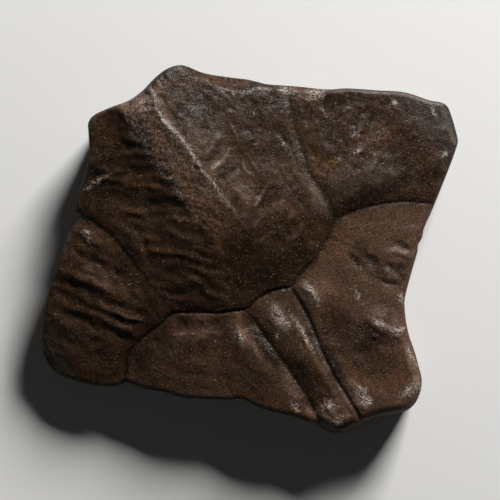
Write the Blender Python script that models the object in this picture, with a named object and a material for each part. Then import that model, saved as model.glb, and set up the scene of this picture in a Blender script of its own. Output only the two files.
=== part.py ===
"""Nuchal plate, the front plate of a pond turtle's upper shell, as one loose fossil bone.

The plate lies on its hollow inner side. +Z is up, -Y is the plate's free front margin and +Y its
rear end, so +X is the animal's left. Lengths are in millimetres until the mesh is made. The horny
scutes are gone, but the bone keeps the grooves that parted them (the sulci), a low cushion inside
each scute's border, and the ridges that the scutes left as they grew.
"""

import bpy
import bmesh
import numpy as np
from mathutils import Vector, geometry, noise

MM = 0.001  # metres in a millimetre

# ---- driving dimensions, in millimetres ---------------------------------------------------------

HALF_WIDTH = 33.3  # from the middle to a wing's tip
HALF_LENGTH = 28.9  # from the middle to the front margin or the rear end
CROWN_HEIGHT = 8.6  # the dome's top above the ground, without scutes and keel
CROWN_SETBACK = 6.0  # the dome's top lies this far behind the middle
WING_DROP = 4.15  # how far the dome falls from its top to a wing's tip
RIGHT_CURVE = 2.3  # how evenly it falls: 1 is a straight slope, and more keeps the middle flatter
LEFT_CURVE = 1.6
REAR_DROP = 1.2  # how far it falls to the rear end
FRONT_DROP = 0.9  # how far it falls to the flat front part
FRONT_RUN = 15.0  # and over what length
ROOF_HEIGHT = 1.4  # the vertebral scute's middle rises this far above its side borders
THICKNESS = 4.8  # of the plate at its middle
LIP_THICKENING = 2.8  # how much thicker the front margin is
REAR_THICKENING = 1.7  # how much thicker the rear end is
EDGE_ROUND = 0.55  # radius of the worn edge along the sutures
LIP_ROUND = 1.7  # radius of the edge along the free front margin
UNDERCUT = 0.9  # how far a sutural side leans in below the outer edge
FOOT_SINK = 0.35  # how deep the lowest places are worn flat where the plate rests

TOP_SPACING = 0.40  # between the points of the outer side, before the mesh is thinned out
UNDER_SPACING = 0.90  # between those of the inner side
RIM_INSETS = (0.16, 0.42, 0.80, 1.30)  # rings of points this far inside the rim
RAIL_OFFSETS = (-0.5, -0.25, 0.25, 0.5)  # and rows of them this far beside each sulcus
SIDE_RINGS = 7  # rings of faces down the sides
TRIANGLES = 9300  # what is left once the mesh is thinned out

BONE_COLOR = (0.055, 0.034, 0.023)
BONE_ROUGHNESS = 0.42

# ---- the outline, counter-clockwise from the tip of the wing at -X -------------------------------

OUTLINE = [
    (-33.3, 2.0), (-33.1, 0.6), (-32.3, -0.9), (-30.2, -3.2), (-28.2, -4.8), (-26.4, -5.7),
    (-24.9, -6.1), (-23.2, -8.1), (-21.0, -9.9), (-19.3, -11.7), (-16.9, -13.3), (-13.8, -15.2),
    (-12.1, -16.1), (-10.7, -18.2), (-9.3, -19.7), (-6.8, -22.1), (-4.3, -25.4), (-2.7, -27.0),
    (0.0, -27.4), (2.7, -27.7), (5.0, -28.4), (6.8, -28.9), (8.4, -28.7), (10.0, -27.6),
    (11.0, -26.2), (11.6, -24.2), (12.1, -22.2), (12.5, -20.1), (13.1, -18.2), (14.0, -16.2),
    (14.9, -14.9), (17.2, -12.6), (19.3, -10.6), (20.0, -9.7), (21.0, -9.1), (21.9, -8.1),
    (24.0, -6.6), (26.2, -4.9), (29.4, -2.4), (31.2, -0.9), (32.2, 0.1), (32.7, 1.4),
    (33.2, 3.4), (33.3, 5.0), (32.7, 6.0), (31.5, 7.0), (29.0, 9.7), (25.7, 11.9), (22.2, 14.2),
    (19.8, 15.4), (16.0, 18.1), (13.0, 20.1), (11.8, 21.2), (10.6, 22.3), (8.6, 23.8),
    (6.0, 25.9), (4.2, 28.1), (2.8, 28.8), (1.2, 28.9), (-0.8, 28.5), (-2.6, 28.0),
    (-5.0, 27.8), (-8.0, 28.3), (-10.2, 28.5), (-11.4, 28.0), (-12.1, 26.7), (-13.0, 24.9),
    (-14.2, 23.2), (-15.4, 22.1), (-16.9, 20.7), (-18.4, 19.3), (-19.1, 18.4), (-18.9, 17.5),
    (-19.4, 17.0), (-22.0, 15.7), (-25.0, 13.2), (-27.4, 11.1), (-30.0, 8.4), (-31.6, 6.2),
    (-32.9, 4.0),
]

# ---- the sulci, each through a few points --------------------------------------------------------

# Across the plate: behind it lie the vertebral and the two pleural scutes, in front of it the
# cervical and the two marginal scutes.
TRANSVERSE = [
    (-26.5, -8.0), (-24.9, -5.6), (-23.6, -3.5), (-22.6, -2.6), (-20.5, -1.9), (-17.6, -1.5),
    (-14.5, -0.9), (-12.9, -1.7), (-10.9, -2.8), (-9.1, -3.9), (-7.5, -4.6), (-5.2, -5.5),
    (-4.2, -5.2), (-2.6, -5.0), (-1.0, -5.1), (0.4, -5.5), (1.5, -5.9), (2.9, -5.3),
    (4.8, -4.7), (6.6, -4.1), (8.4, -3.1), (10.0, -2.1), (11.8, -1.0), (14.0, -1.1),
    (16.0, -1.5), (18.0, -2.1), (20.0, -2.9), (22.0, -4.0), (23.5, -5.0), (24.7, -5.9),
    (26.5, -8.0),
]
# Between the vertebral scute and the pleural ones, from the front to the rear.
RIGHT_LATERAL = [
    (-14.5, -0.9), (-14.8, 1.6), (-15.2, 3.6), (-15.5, 5.4), (-15.7, 7.5), (-15.9, 9.4),
    (-16.2, 11.4), (-16.5, 12.9), (-17.3, 14.6), (-17.9, 16.0), (-18.9, 17.7), (-20.4, 20.0),
]
LEFT_LATERAL = [
    (11.6, -1.0), (11.8, 1.0), (11.8, 4.0), (11.8, 6.0), (12.0, 8.0), (12.5, 10.0),
    (12.9, 12.0), (13.4, 14.0), (14.0, 16.0), (15.0, 18.2), (16.2, 20.5),
]
# On both sides of the narrow cervical scute, from the front margin to the rear.
RIGHT_CERVICAL = [
    (-4.6, -28.5), (-4.4, -25.5), (-4.2, -22.0), (-4.15, -20.0), (-4.2, -18.0), (-4.4, -16.0),
    (-4.5, -14.0), (-4.8, -11.5), (-5.0, -9.5), (-5.2, -7.0), (-5.2, -5.5),
]
LEFT_CERVICAL = [
    (0.8, -29.5), (0.8, -26.0), (0.7, -22.0), (0.6, -20.0), (0.65, -18.0), (0.8, -16.0),
    (1.15, -14.0), (1.45, -12.0), (1.6, -10.0), (1.65, -8.0), (1.5, -5.9),
]
# Each sulcus: its points, the depth and half-width of its floor, how far the bone drops towards it,
# and how far that slope reaches on the line's left side and on its right side.
SULCI = {
    "transverse": (TRANSVERSE, 0.17, 0.22, 0.44, 2.2, 20.0),
    "right_lateral": (RIGHT_LATERAL, 0.06, 0.35, 0.17, 25.0, 0.9),
    "left_lateral": (LEFT_LATERAL, 0.08, 0.50, 0.03, 1.4, 1.4),
    "right_cervical": (RIGHT_CERVICAL, 0.08, 0.50, 0.75, 14.0, 1.7),
    "left_cervical": (LEFT_CERVICAL, 0.12, 0.28, 0.48, 4.0, 1.5),
}
REAR_SULCI = ("right_lateral", "left_lateral")
FRONT_SULCI = ("right_cervical", "left_cervical")
# Some are worn along part of their length: (share of the length, share of the depth that is left).
WORN_SULCI = {
    "transverse": [(0.0, 0.7), (0.1, 0.7), (0.2, 1.0), (0.68, 1.0), (0.76, 0.4), (1.0, 0.4)],
    "right_lateral": [(0.0, 0.3), (0.35, 0.35), (0.5, 0.9), (1.0, 1.0)],
}
FADE_IN = 3.0  # the front sulci's slopes start at the transverse one and are full from here on

# ---- ridges (+) and furrows (-): height, half-width, and a few points along each ------------------

STRONG = 0.15
MEDIUM = 0.10
FAINT = 0.06

RIGHT_PLEURAL_FOLDS = [
    (-0.20, 0.80, [(-22.6, 13.9), (-21.3, 12.2), (-20.2, 10.6), (-18.9, 8.7), (-17.9, 7.3),
                   (-17.0, 6.2)]),
    (-FAINT, 0.45, [(-22.2, 14.2), (-21.2, 12.4)]),
    (-MEDIUM, 0.45, [(-20.5, 14.4), (-19.9, 13.0)]),
    (-FAINT, 0.50, [(-20.4, 11.4), (-19.6, 9.8)]),
    (-FAINT, 0.50, [(-18.4, 7.6), (-17.2, 6.4)]),
    (0.22, 0.75, [(-25.4, 12.3), (-24.2, 11.1), (-23.2, 9.8), (-22.0, 8.2), (-21.0, 7.0),
                  (-19.7, 6.0)]),
    (MEDIUM, 0.40, [(-22.9, 11.4), (-21.7, 10.0), (-20.5, 8.6)]),
    (-FAINT, 0.35, [(-22.5, 10.3), (-21.2, 9.0)]),
    (-MEDIUM, 0.50, [(-26.4, 11.5), (-25.2, 10.2), (-24.1, 8.9), (-23.0, 7.2), (-21.9, 5.9),
                     (-21.1, 4.5), (-20.1, 3.2), (-18.9, 1.7), (-17.7, 0.4)]),
    (-MEDIUM, 0.45, [(-24.9, 9.9), (-24.0, 8.8)]),
    (-FAINT, 0.45, [(-23.1, 7.3), (-21.9, 6.0)]),
    (-MEDIUM, 0.40, [(-22.4, 5.4), (-21.2, 4.4), (-20.2, 3.2)]),
    (FAINT, 0.32, [(-26.3, 9.9), (-25.3, 8.7), (-24.4, 7.2)]),
    (0.13, 0.32, [(-22.9, 4.9), (-22.0, 4.0), (-21.1, 2.7), (-20.0, 1.4), (-18.7, 0.4)]),
    (-0.08, 0.45, [(-27.0, 10.3), (-26.0, 8.7), (-25.0, 6.8), (-24.1, 5.4), (-23.0, 4.3),
                     (-21.9, 2.9), (-20.9, 1.4), (-19.6, 0.3)]),
    (-FAINT, 0.40, [(-26.8, 10.0), (-26.0, 8.9)]),
    (-MEDIUM, 0.40, [(-21.6, 2.2), (-20.9, 1.2), (-20.0, 0.5)]),
    (MEDIUM, 0.55, [(-28.2, 9.2), (-27.2, 8.0), (-26.0, 6.6), (-24.9, 5.4), (-23.6, 3.6),
                    (-22.2, 1.8), (-20.9, 0.0), (-19.9, -0.9)]),
    (-0.08, 0.50, [(-28.6, 8.4), (-27.8, 6.9), (-26.6, 5.3), (-25.3, 4.0), (-24.2, 2.6),
                     (-23.2, 1.2), (-22.3, -0.1), (-21.0, -1.4)]),
    (-FAINT, 0.42, [(-27.8, 6.9), (-26.7, 5.5)]),
    (-STRONG, 0.60, [(-23.0, 0.6), (-22.1, -0.5), (-21.0, -1.5)]),
    (0.13, 0.75, [(-29.5, 7.2), (-28.7, 5.7), (-27.5, 4.2), (-26.4, 3.0), (-25.2, 1.6),
                  (-24.2, 0.2), (-23.6, -1.4)]),
    (-MEDIUM, 0.60, [(-30.4, 5.0), (-29.5, 3.4), (-28.6, 2.0), (-27.8, 0.6)]),
    (-FAINT, 0.60, [(-31.0, 3.6), (-30.4, 2.2)]),
    (FAINT, 0.60, [(-27.3, 1.0), (-27.2, -0.8)]),
    (-FAINT, 0.60, [(-26.4, -0.6), (-25.8, -1.6)]),
    (STRONG, 0.75, [(-20.3, 15.6), (-19.4, 14.6), (-18.6, 13.2), (-17.8, 11.6), (-17.2, 10.0)]),
    (FAINT, 0.45, [(-17.8, 4.4), (-17.2, 3.4)]),
    (-FAINT, 0.45, [(-17.4, 2.8), (-16.8, 2.2)]),
]
RIGHT_VERTEBRAL_FOLDS = [
    (MEDIUM, 0.65, [(-15.6, 14.6), (-14.6, 12.6), (-14.3, 9.8), (-14.2, 6.8), (-14.0, 4.4)]),
    (-MEDIUM, 0.40, [(-13.2, 12.4), (-12.9, 10.6), (-13.2, 8.4)]),
    (FAINT, 0.55, [(-12.9, 7.7), (-11.4, 7.3), (-10.2, 6.2), (-9.1, 5.0), (-7.9, 3.8)]),
    (MEDIUM, 0.45, [(-10.2, 10.6), (-9.5, 9.7), (-8.6, 8.3), (-7.5, 6.9), (-6.1, 5.6)]),
    (MEDIUM, 0.40, [(-13.2, 15.1), (-11.9, 13.7), (-10.9, 12.3)]),
    (STRONG, 0.55, [(-12.4, 18.9), (-11.5, 18.1), (-10.3, 17.2), (-8.7, 15.9), (-7.2, 14.7),
                    (-6.0, 12.8)]),
    (MEDIUM, 0.45, [(-12.8, 24.1), (-11.4, 24.2), (-9.9, 23.7), (-8.8, 22.8)]),
    (FAINT, 0.45, [(-11.8, 21.9), (-9.4, 21.7), (-7.4, 20.7)]),
    (FAINT, 0.45, [(-8.2, 11.3), (-7.3, 10.4), (-6.2, 9.3)]),
    (FAINT, 0.50, [(-13.7, 4.8), (-12.6, 3.6), (-11.8, 2.6)]),
    (FAINT, 0.45, [(-8.9, 4.7), (-7.2, 3.4), (-5.2, 2.5)]),
    (FAINT, 0.45, [(-10.8, 3.0), (-9.8, 1.8), (-8.8, 0.8)]),
    (FAINT, 0.40, [(-8.4, 2.1), (-6.9, 0.9), (-5.6, 0.0)]),
    (-FAINT, 0.60, [(-7.4, 26.4), (-7.0, 24.4), (-6.6, 21.6)]),
    (-MEDIUM, 0.55, [(-7.4, 15.9), (-6.4, 15.0), (-5.7, 13.8)]),
    (-MEDIUM, 0.55, [(-7.4, 12.4), (-6.4, 11.4), (-5.6, 10.4)]),
    (-MEDIUM, 0.50, [(-10.8, 20.5), (-9.6, 19.5), (-8.4, 18.4)]),
    (-FAINT, 0.50, [(-13.6, 17.4), (-11.9, 15.9), (-9.8, 14.6), (-8.3, 12.9)]),
    (-0.04, 0.60, [(-12.2, 9.8), (-11.2, 8.9), (-10.2, 8.0), (-9.0, 6.9)]),
    (-0.04, 0.50, [(-11.2, 6.4), (-10.2, 5.5), (-9.0, 4.2)]),
    (-FAINT, 0.50, [(-8.4, 7.2), (-7.2, 5.8), (-5.6, 4.6)]),
    (-FAINT, 0.45, [(-12.0, 4.3), (-11.2, 3.1), (-10.2, 2.2)]),
    (-FAINT, 0.45, [(-9.6, 3.2), (-8.2, 1.6), (-7.0, 0.8)]),
    (-FAINT, 0.50, [(-14.4, 2.6), (-13.2, 1.2), (-11.4, 0.2)]),
    (-FAINT, 0.50, [(-10.2, 24.6), (-8.2, 22.4), (-7.2, 21.6)]),
    (-0.24, 0.85, [(-14.6, 21.7), (-13.9, 21.2)]),
    (0.12, 0.35, [(-16.0, 21.3), (-15.5, 20.6), (-14.6, 20.1), (-13.4, 20.0), (-12.4, 20.2)]),
]
LEFT_VERTEBRAL_FOLDS = [
    (0.12, 0.26, [(-0.3, 13.2), (1.3, 13.7), (2.4, 14.0), (3.9, 14.8)]),
    (-0.05, 0.80, [(0.2, 12.1), (1.8, 12.1), (3.4, 12.6)]),
    (-FAINT, 0.35, [(0.4, 12.8), (1.6, 13.0), (2.8, 13.2)]),
    (0.07, 0.20, [(4.2, 12.8), (4.3, 10.9), (4.7, 9.4)]),
    (-FAINT, 0.35, [(4.7, 14.4), (4.8, 13.3)]),
    (FAINT, 0.24, [(1.4, 10.4), (1.7, 9.5), (2.1, 8.6)]),
    (-FAINT, 0.70, [(1.1, 8.8), (1.1, 7.8)]),
    (0.12, 0.24, [(2.5, 6.1), (3.4, 6.6), (4.4, 7.1)]),
    (FAINT, 0.25, [(4.2, 7.1), (5.2, 7.7), (6.6, 8.4)]),
    (FAINT, 0.30, [(-0.2, 5.8), (1.0, 6.2)]),
    (-FAINT, 0.40, [(1.4, 5.1), (2.6, 5.1)]),
    (-FAINT, 0.40, [(3.2, 5.8), (4.2, 6.1)]),
    (FAINT, 0.28, [(0.6, 3.8), (2.0, 4.1), (3.1, 4.3), (4.3, 4.6)]),
    (FAINT, 0.28, [(5.2, 4.4), (6.0, 4.7), (7.0, 5.4)]),
    (-FAINT, 0.50, [(2.2, 3.2), (3.2, 3.1)]),
    (-FAINT, 0.50, [(4.6, 3.0), (5.6, 1.4)]),
    (FAINT, 0.35, [(0.8, 1.8), (2.2, 1.9), (3.8, 1.8)]),
    (FAINT, 0.40, [(5.9, 2.4), (7.3, 3.4)]),
    (FAINT, 0.40, [(4.0, -0.3), (6.2, 0.2), (7.8, 1.0)]),
    (-FAINT, 0.60, [(7.2, 16.6), (7.3, 15.4), (7.2, 14.4)]),
    (-FAINT, 0.60, [(6.7, 20.4), (6.9, 19.0)]),
    (-FAINT, 0.70, [(9.5, 19.0), (9.4, 16.0)]),
    (-FAINT, 0.60, [(7.0, 12.6), (7.6, 11.8)]),
    (-FAINT, 0.50, [(11.2, 13.8), (11.4, 12.4)]),
    (-FAINT, 0.45, [(8.2, 8.4), (8.3, 7.8)]),
    (FAINT, 0.45, [(9.5, 9.0), (10.2, 7.6), (10.5, 5.8), (10.8, 4.2), (10.9, 2.0)]),
    (-FAINT, 0.45, [(8.4, 4.8), (8.8, 3.2), (9.0, 0.8)]),
    (-FAINT, 0.60, [(6.0, -0.9), (6.8, -1.5)]),
    (FAINT, 0.30, [(-0.5, 25.4), (-0.2, 23.1), (0.7, 21.5)]),
    (0.03, 0.30, [(0.2, 10.8), (1.6, 10.9), (3.4, 11.4), (4.4, 11.8)]),
    (FAINT, 0.35, [(-0.2, 7.5), (1.2, 7.6), (2.4, 7.9)]),
    (0.04, 0.30, [(5.4, 13.0), (5.6, 11.4), (5.4, 10.0)]),
    (0.04, 0.30, [(5.4, 18.0), (5.5, 16.0), (5.5, 14.2)]),
    (-FAINT, 0.35, [(10.6, 14.4), (10.9, 12.0), (11.2, 9.8)]),
    (FAINT, 0.35, [(0.0, 15.8), (2.0, 16.4), (3.8, 17.2)]),
    (-FAINT, 0.35, [(0.0, 14.8), (1.8, 15.4), (3.4, 16.2)]),
]
LEFT_PLEURAL_FOLDS = [
    (0.34, 2.6, [(12.4, 2.6), (15.0, 2.4), (18.5, 1.4), (23.0, -1.2)]),
    (STRONG, 0.40, [(20.9, 4.6), (20.6, 3.6), (19.8, 2.8), (18.9, 2.2)]),
    (STRONG, 0.38, [(18.7, 5.9), (19.6, 5.7)]),
    (FAINT, 0.60, [(20.6, 5.6), (22.2, 5.7)]),
    (STRONG, 0.38, [(20.1, 8.1), (21.2, 8.4)]),
    (FAINT, 0.35, [(19.6, 7.2), (20.0, 7.3)]),
    (FAINT, 0.30, [(17.0, 2.9), (17.9, 2.9)]),
    (-STRONG, 0.50, [(18.1, 3.7), (19.0, 4.4), (19.8, 5.0)]),
    (-MEDIUM, 0.45, [(19.8, 6.5), (20.7, 7.2), (21.4, 7.9)]),
    (-MEDIUM, 0.50, [(23.9, 11.0), (22.6, 10.2), (21.0, 9.5), (19.6, 9.3)]),
    (-MEDIUM, 0.55, [(17.4, 13.4), (18.5, 14.1), (19.3, 14.8)]),
    (MEDIUM, 0.50, [(16.8, 14.6), (17.1, 13.6)]),
    (-FAINT, 0.50, [(14.3, 15.8), (14.3, 13.6)]),
    (FAINT, 0.60, [(14.2, 12.9), (14.4, 11.8)]),
    (FAINT, 0.70, [(15.0, 9.6), (16.2, 10.4)]),
    (-FAINT, 0.50, [(15.6, 9.6), (16.6, 8.4)]),
    (MEDIUM, 0.45, [(19.7, 11.2), (20.4, 11.8), (21.3, 11.4)]),
    (FAINT, 0.40, [(22.0, 11.3), (22.9, 11.6)]),
    (MEDIUM, 0.45, [(14.8, 5.8), (15.6, 5.9), (16.3, 6.6)]),
    (FAINT, 0.45, [(13.9, 4.0), (14.6, 4.0)]),
    (-MEDIUM, 0.90, [(15.4, 1.8), (16.6, 1.3), (17.6, 2.2)]),
    (FAINT, 0.80, [(22.4, 2.8), (24.2, 1.8)]),
    (FAINT, 0.60, [(21.0, 1.2), (22.0, 0.4)]),
    (FAINT, 0.35, [(26.8, 4.0), (27.4, 3.8)]),
    (FAINT, 0.50, [(26.6, 8.9), (27.4, 7.2)]),
    (-FAINT, 0.60, [(25.6, 9.8), (26.8, 9.2)]),
    (-FAINT, 0.60, [(25.0, 3.6), (26.0, 3.2)]),
    (MEDIUM, 0.45, [(30.6, 2.8), (31.6, 2.2), (31.9, 0.9)]),
    (-FAINT, 0.40, [(29.6, 0.6), (30.8, 0.4)]),
    (MEDIUM, 0.20, [(15.1, 1.3), (15.2, 0.6), (15.6, -0.2)]),
]
RIGHT_MARGINAL_FOLDS = [
    (0.55, 3.2, [(-7.6, -4.8), (-7.8, -10.0), (-7.0, -16.0), (-5.6, -23.0)]),
    (0.09, 1.1, [(-7.4, -6.6), (-7.8, -8.2), (-7.5, -10.8), (-7.1, -13.2), (-6.5, -16.0),
                   (-5.7, -19.0), (-5.2, -22.2), (-4.7, -24.6)]),
    (STRONG, 0.50, [(-7.4, -6.6), (-7.8, -7.8), (-8.3, -9.2)]),
    (FAINT, 0.35, [(-7.2, -10.2), (-7.4, -11.8)]),
    (-0.04, 0.80, [(-10.6, -6.2), (-10.2, -7.6), (-10.0, -9.0)]),
    (-MEDIUM, 0.70, [(-11.2, -9.4), (-12.2, -11.2), (-13.0, -12.8), (-13.3, -14.6)]),
    (-FAINT, 0.90, [(-16.4, -5.6), (-15.6, -6.6)]),
    (FAINT, 0.80, [(-17.2, -6.8), (-16.4, -7.8)]),
    (-FAINT, 0.40, [(-17.4, -8.8), (-16.2, -9.6), (-14.8, -10.6)]),
    (FAINT, 0.40, [(-15.2, -8.6), (-14.0, -9.6)]),
    (FAINT, 0.50, [(-16.4, -10.8), (-15.0, -11.8)]),
    (FAINT, 0.90, [(-19.8, -3.6), (-18.8, -4.4)]),
    (-FAINT, 0.70, [(-23.8, -5.4), (-23.0, -4.4), (-22.0, -3.6)]),
    (FAINT, 0.22, [(-11.6, -3.4), (-11.3, -4.4)]),
    (FAINT, 0.25, [(-13.7, -4.6), (-13.4, -4.8)]),
    (FAINT, 0.25, [(-12.8, -6.1), (-12.4, -5.7)]),
    (FAINT, 0.22, [(-16.2, -3.7), (-14.4, -4.2)]),
    (-FAINT, 0.60, [(-8.8, -15.8), (-7.9, -17.2)]),
    (FAINT, 0.40, [(-6.4, -21.2), (-5.8, -21.6)]),
]
LEFT_MARGINAL_FOLDS = [
    (MEDIUM, 0.40, [(3.1, -6.4), (3.4, -7.8), (3.9, -9.4)]),
    (MEDIUM, 1.10, [(3.3, -6.8), (3.7, -9.0), (3.6, -11.0)]),
    (0.12, 0.45, [(8.6, -15.0), (9.1, -16.1), (10.0, -17.3), (10.8, -18.3), (11.9, -18.9)]),
    (MEDIUM, 1.30, [(9.6, -13.8), (10.8, -16.0), (12.6, -17.8)]),
    (-0.10, 0.50, [(8.0, -15.2), (8.2, -16.4), (9.0, -17.8), (10.0, -18.9)]),
    (MEDIUM, 0.25, [(7.9, -17.7), (8.7, -18.1)]),
    (-MEDIUM, 0.70, [(6.8, -15.4), (7.6, -17.4), (8.8, -19.2), (10.2, -19.4), (11.6, -19.8)]),
    (-0.22, 2.00, [(3.8, -12.0), (4.6, -16.0), (6.2, -20.0), (7.4, -21.6)]),
    (MEDIUM, 0.50, [(1.9, -21.4), (2.2, -22.6), (3.2, -23.8)]),
    (MEDIUM, 0.35, [(1.6, -25.1), (2.4, -25.5), (3.2, -25.3)]),
    (MEDIUM, 0.60, [(11.4, -20.2), (11.1, -21.8), (10.7, -23.6), (10.3, -25.6), (9.4, -26.6),
                    (7.6, -26.9)]),
    (FAINT, 0.25, [(8.0, -20.3), (8.3, -20.5)]),
    (-MEDIUM, 0.38, [(10.7, -5.9), (11.2, -7.3), (12.0, -9.0)]),
    (FAINT, 0.40, [(11.4, -7.0), (12.0, -8.6), (12.6, -9.8)]),
    (-MEDIUM, 0.45, [(12.8, -7.0), (13.2, -8.0), (13.8, -9.4)]),
    (-MEDIUM, 0.35, [(13.0, -11.4), (13.6, -12.2), (14.6, -12.9)]),
    (FAINT, 0.45, [(14.0, -10.2), (14.6, -11.4), (15.2, -12.4)]),
    (-MEDIUM, 0.50, [(15.0, -9.6), (15.7, -10.7), (16.6, -11.8)]),
    (MEDIUM, 0.40, [(15.4, -8.3), (16.8, -8.9), (17.7, -9.8), (18.2, -10.8)]),
    (-MEDIUM, 0.32, [(17.2, -7.6), (17.8, -8.4), (18.6, -9.6)]),
    (FAINT, 0.30, [(15.5, -6.3), (15.9, -6.6)]),
    (FAINT, 0.35, [(11.0, -3.8), (12.2, -5.0)]),
    (-FAINT, 0.60, [(19.2, -6.0), (20.8, -6.6)]),
]
CERVICAL_FOLDS = [
    (0.24, 2.60, [(-1.8, -6.4), (-1.8, -10.0), (-1.1, -13.0), (-0.7, -16.0), (-0.6, -21.0),
                  (-0.3, -26.0)]),
    (0.12, 0.90, [(-2.0, -6.8), (-2.0, -8.6), (-2.3, -10.4)]),
    (0.07, 0.26, [(-0.4, -10.4), (-0.3, -12.0), (-0.5, -13.6), (-0.7, -14.8)]),
    (0.05, 0.65, [(-0.9, -15.6), (-0.8, -17.4), (-0.6, -19.6), (-0.3, -22.0), (-0.2, -25.6)]),
    (-0.12, 0.80, [(-3.2, -14.8), (-3.1, -18.8), (-2.8, -21.0)]),
    (0.20, 0.90, [(-2.9, -23.2), (-2.2, -23.1), (-1.6, -23.1)]),
]
SECOND_SULCUS = [
    (-FAINT, 0.22, [(-13.2, -1.0), (-11.2, -2.0), (-9.2, -3.2), (-7.6, -3.9)]),
]
FOLDS = (
    RIGHT_PLEURAL_FOLDS + RIGHT_VERTEBRAL_FOLDS + LEFT_VERTEBRAL_FOLDS + LEFT_PLEURAL_FOLDS
    + RIGHT_MARGINAL_FOLDS + LEFT_MARGINAL_FOLDS + CERVICAL_FOLDS + SECOND_SULCUS
)
WAVE_CENTRE = (-21.0, -8.0)  # the faint growth ridges on the -X half curve round this point
WAVE_SPACING = 2.0
WAVE_HEIGHT = 0.045
FOLD_STEP = 0.5  # between the points that a fold's curve is read at
FADE_SHARE = 0.22  # of a fold's length, over which each end fades out
WAVER = 0.30  # how far a fold's line strays from the curve through its points
UNEVENNESS = 0.8  # how much its height varies along the way
NARROW = 0.6  # a fold wider than this is more even

# ---- the keel along the middle of the vertebral scute --------------------------------------------

KEEL_CREST = [
    (0.1, 2.0), (0.1, 4.5), (0.0, 6.0), (-0.4, 9.5), (-0.5, 12.8), (-0.9, 14.0), (-1.1, 18.0),
    (-1.5, 20.0), (-1.9, 22.0), (-2.3, 23.4), (-2.0, 25.0), (-1.6, 26.4), (-1.4, 29.0),
]
# (Y, height) along the crest, and (offset from the crest, share of the height) across it: a steep
# smooth flank on the +X side, and on the -X side a rough shelf that ends in a step.
KEEL_HEIGHTS = [(1.0, 0.0), (6.0, 0.18), (10.0, 0.40), (14.0, 0.65), (20.0, 0.88), (26.0, 1.05),
                (29.0, 0.85)]
KEEL_SECTION = [(-7.5, 0.0), (-6.3, 0.08), (-5.5, 0.24), (-4.7, 0.44), (-3.9, 0.58),
                (-1.2, 0.70), (-0.4, 0.86), (0.0, 1.0), (0.5, 0.84), (1.5, 0.68), (5.0, 0.34),
                (9.5, 0.0)]
RAGGED = 0.35  # how far the worn crest strays from its line

# ---- broken and worn places ----------------------------------------------------------------------

# The outer skin of the bone ends at this line, and a rough slope runs from it down to the outline.
BROKEN_EDGE = [
    (3.4, 29.6), (3.8, 27.4), (4.2, 26.2), (5.5, 25.2), (6.3, 23.8), (7.5, 22.5), (8.6, 21.4),
    (10.2, 20.8), (12.0, 20.2), (14.0, 18.8), (17.5, 16.4), (19.5, 15.4),
]
BROKEN_SLOPE = 0.38
# Chips: a point on the chip's upper edge, the way it faces in plan, and its fall per millimetre.
CHIPS = [
    ((32.0, 2.6), (0.97, -0.22), 1.6),
    ((-32.3, 2.0), (-1.0, 0.0), 1.2),
    ((-3.6, 26.3), (-0.10, 1.0), 0.4),
    ((-11.2, 27.3), (-0.6, 0.8), 0.8),
]
CHIP_REACH = 3.4  # how far to either side a chip goes

# ---- the inner side ------------------------------------------------------------------------------

SKIN_LINE = 6.5  # how far the scutes wrapped round under the front margin
SKIN_STEP = 0.5  # the step down at their inner border
PEDESTAL = ((-1.5, 19.0), 4.0, 1.3)  # a low knob near the rear: centre, radius, height
RIB_SWELLINGS = [
    (0.8, 2.6, [(-6.0, 14.0), (-14.0, 11.5), (-22.0, 9.0)]),
    (0.8, 2.6, [(4.0, 14.0), (12.0, 12.0), (21.0, 9.5)]),
]


def smooth_line(points, spacing, closed=False):
    """An even row of points along the Catmull-Rom curve through the given ones."""
    points = np.array(points, float)
    if closed:
        around = np.vstack([points[-1:], points, points[:2]])
    else:
        around = np.vstack([2 * points[:1] - points[1:2], points, 2 * points[-1:] - points[-2:-1]])
    dense = []
    for before, start, end, after in zip(around, around[1:], around[2:], around[3:]):
        for t in np.linspace(0, 1, 16, endpoint=False):
            dense.append(
                start
                + 0.5 * t * (end - before)
                + t**2 * (before - 2.5 * start + 2 * end - 0.5 * after)
                + 0.5 * t**3 * (3 * start - before - 3 * end + after)
            )
    dense.append(points[0] if closed else points[-1])
    dense = np.array(dense)
    run = np.concatenate([[0], np.cumsum(np.linalg.norm(np.diff(dense, axis=0), axis=1))])
    count = max(2, round(run[-1] / spacing) + 1)
    at = np.linspace(0, run[-1], count)
    line = np.column_stack([np.interp(at, run, dense[:, 0]), np.interp(at, run, dense[:, 1])])
    return line[:-1] if closed else line


def measure(x, y, line, closed=False):
    """Each point's distance to the line, the share of its length reached there, and the line's side.

    The side is 1 on the line's left and -1 on its right.
    """
    starts = line
    ends = np.roll(line, -1, axis=0)
    if not closed:
        starts, ends = starts[:-1], ends[:-1]
    best = np.full(x.shape, np.inf)
    share = np.zeros(x.shape)
    side = np.ones(x.shape)
    for i, (start, end) in enumerate(zip(starts, ends)):
        run = end - start
        dx, dy = x - start[0], y - start[1]
        t = np.clip((dx * run[0] + dy * run[1]) / (run @ run), 0, 1)
        away = np.hypot(dx - t * run[0], dy - t * run[1])
        nearer = away < best
        best = np.where(nearer, away, best)
        share = np.where(nearer, (i + t) / len(starts), share)
        side = np.where(nearer, np.sign(run[0] * dy - run[1] * dx), side)
    return best, share, side


def height_of(x, table):
    """A curve's value at x, from its (x, value) pairs."""
    xs, values = zip(*table)
    return np.interp(x, xs, values)


def ripple(x, y, size, seed):
    """Smooth noise from -1 to 1 whose lumps are about this size."""
    return np.array([noise.noise((a / size, b / size, seed)) for a, b in zip(x, y)])


def eased(t):
    """0 up to 0, 1 from 1 on, and a soft S between them."""
    t = np.clip(t, 0, 1)
    return t * t * (3 - 2 * t)


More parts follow.
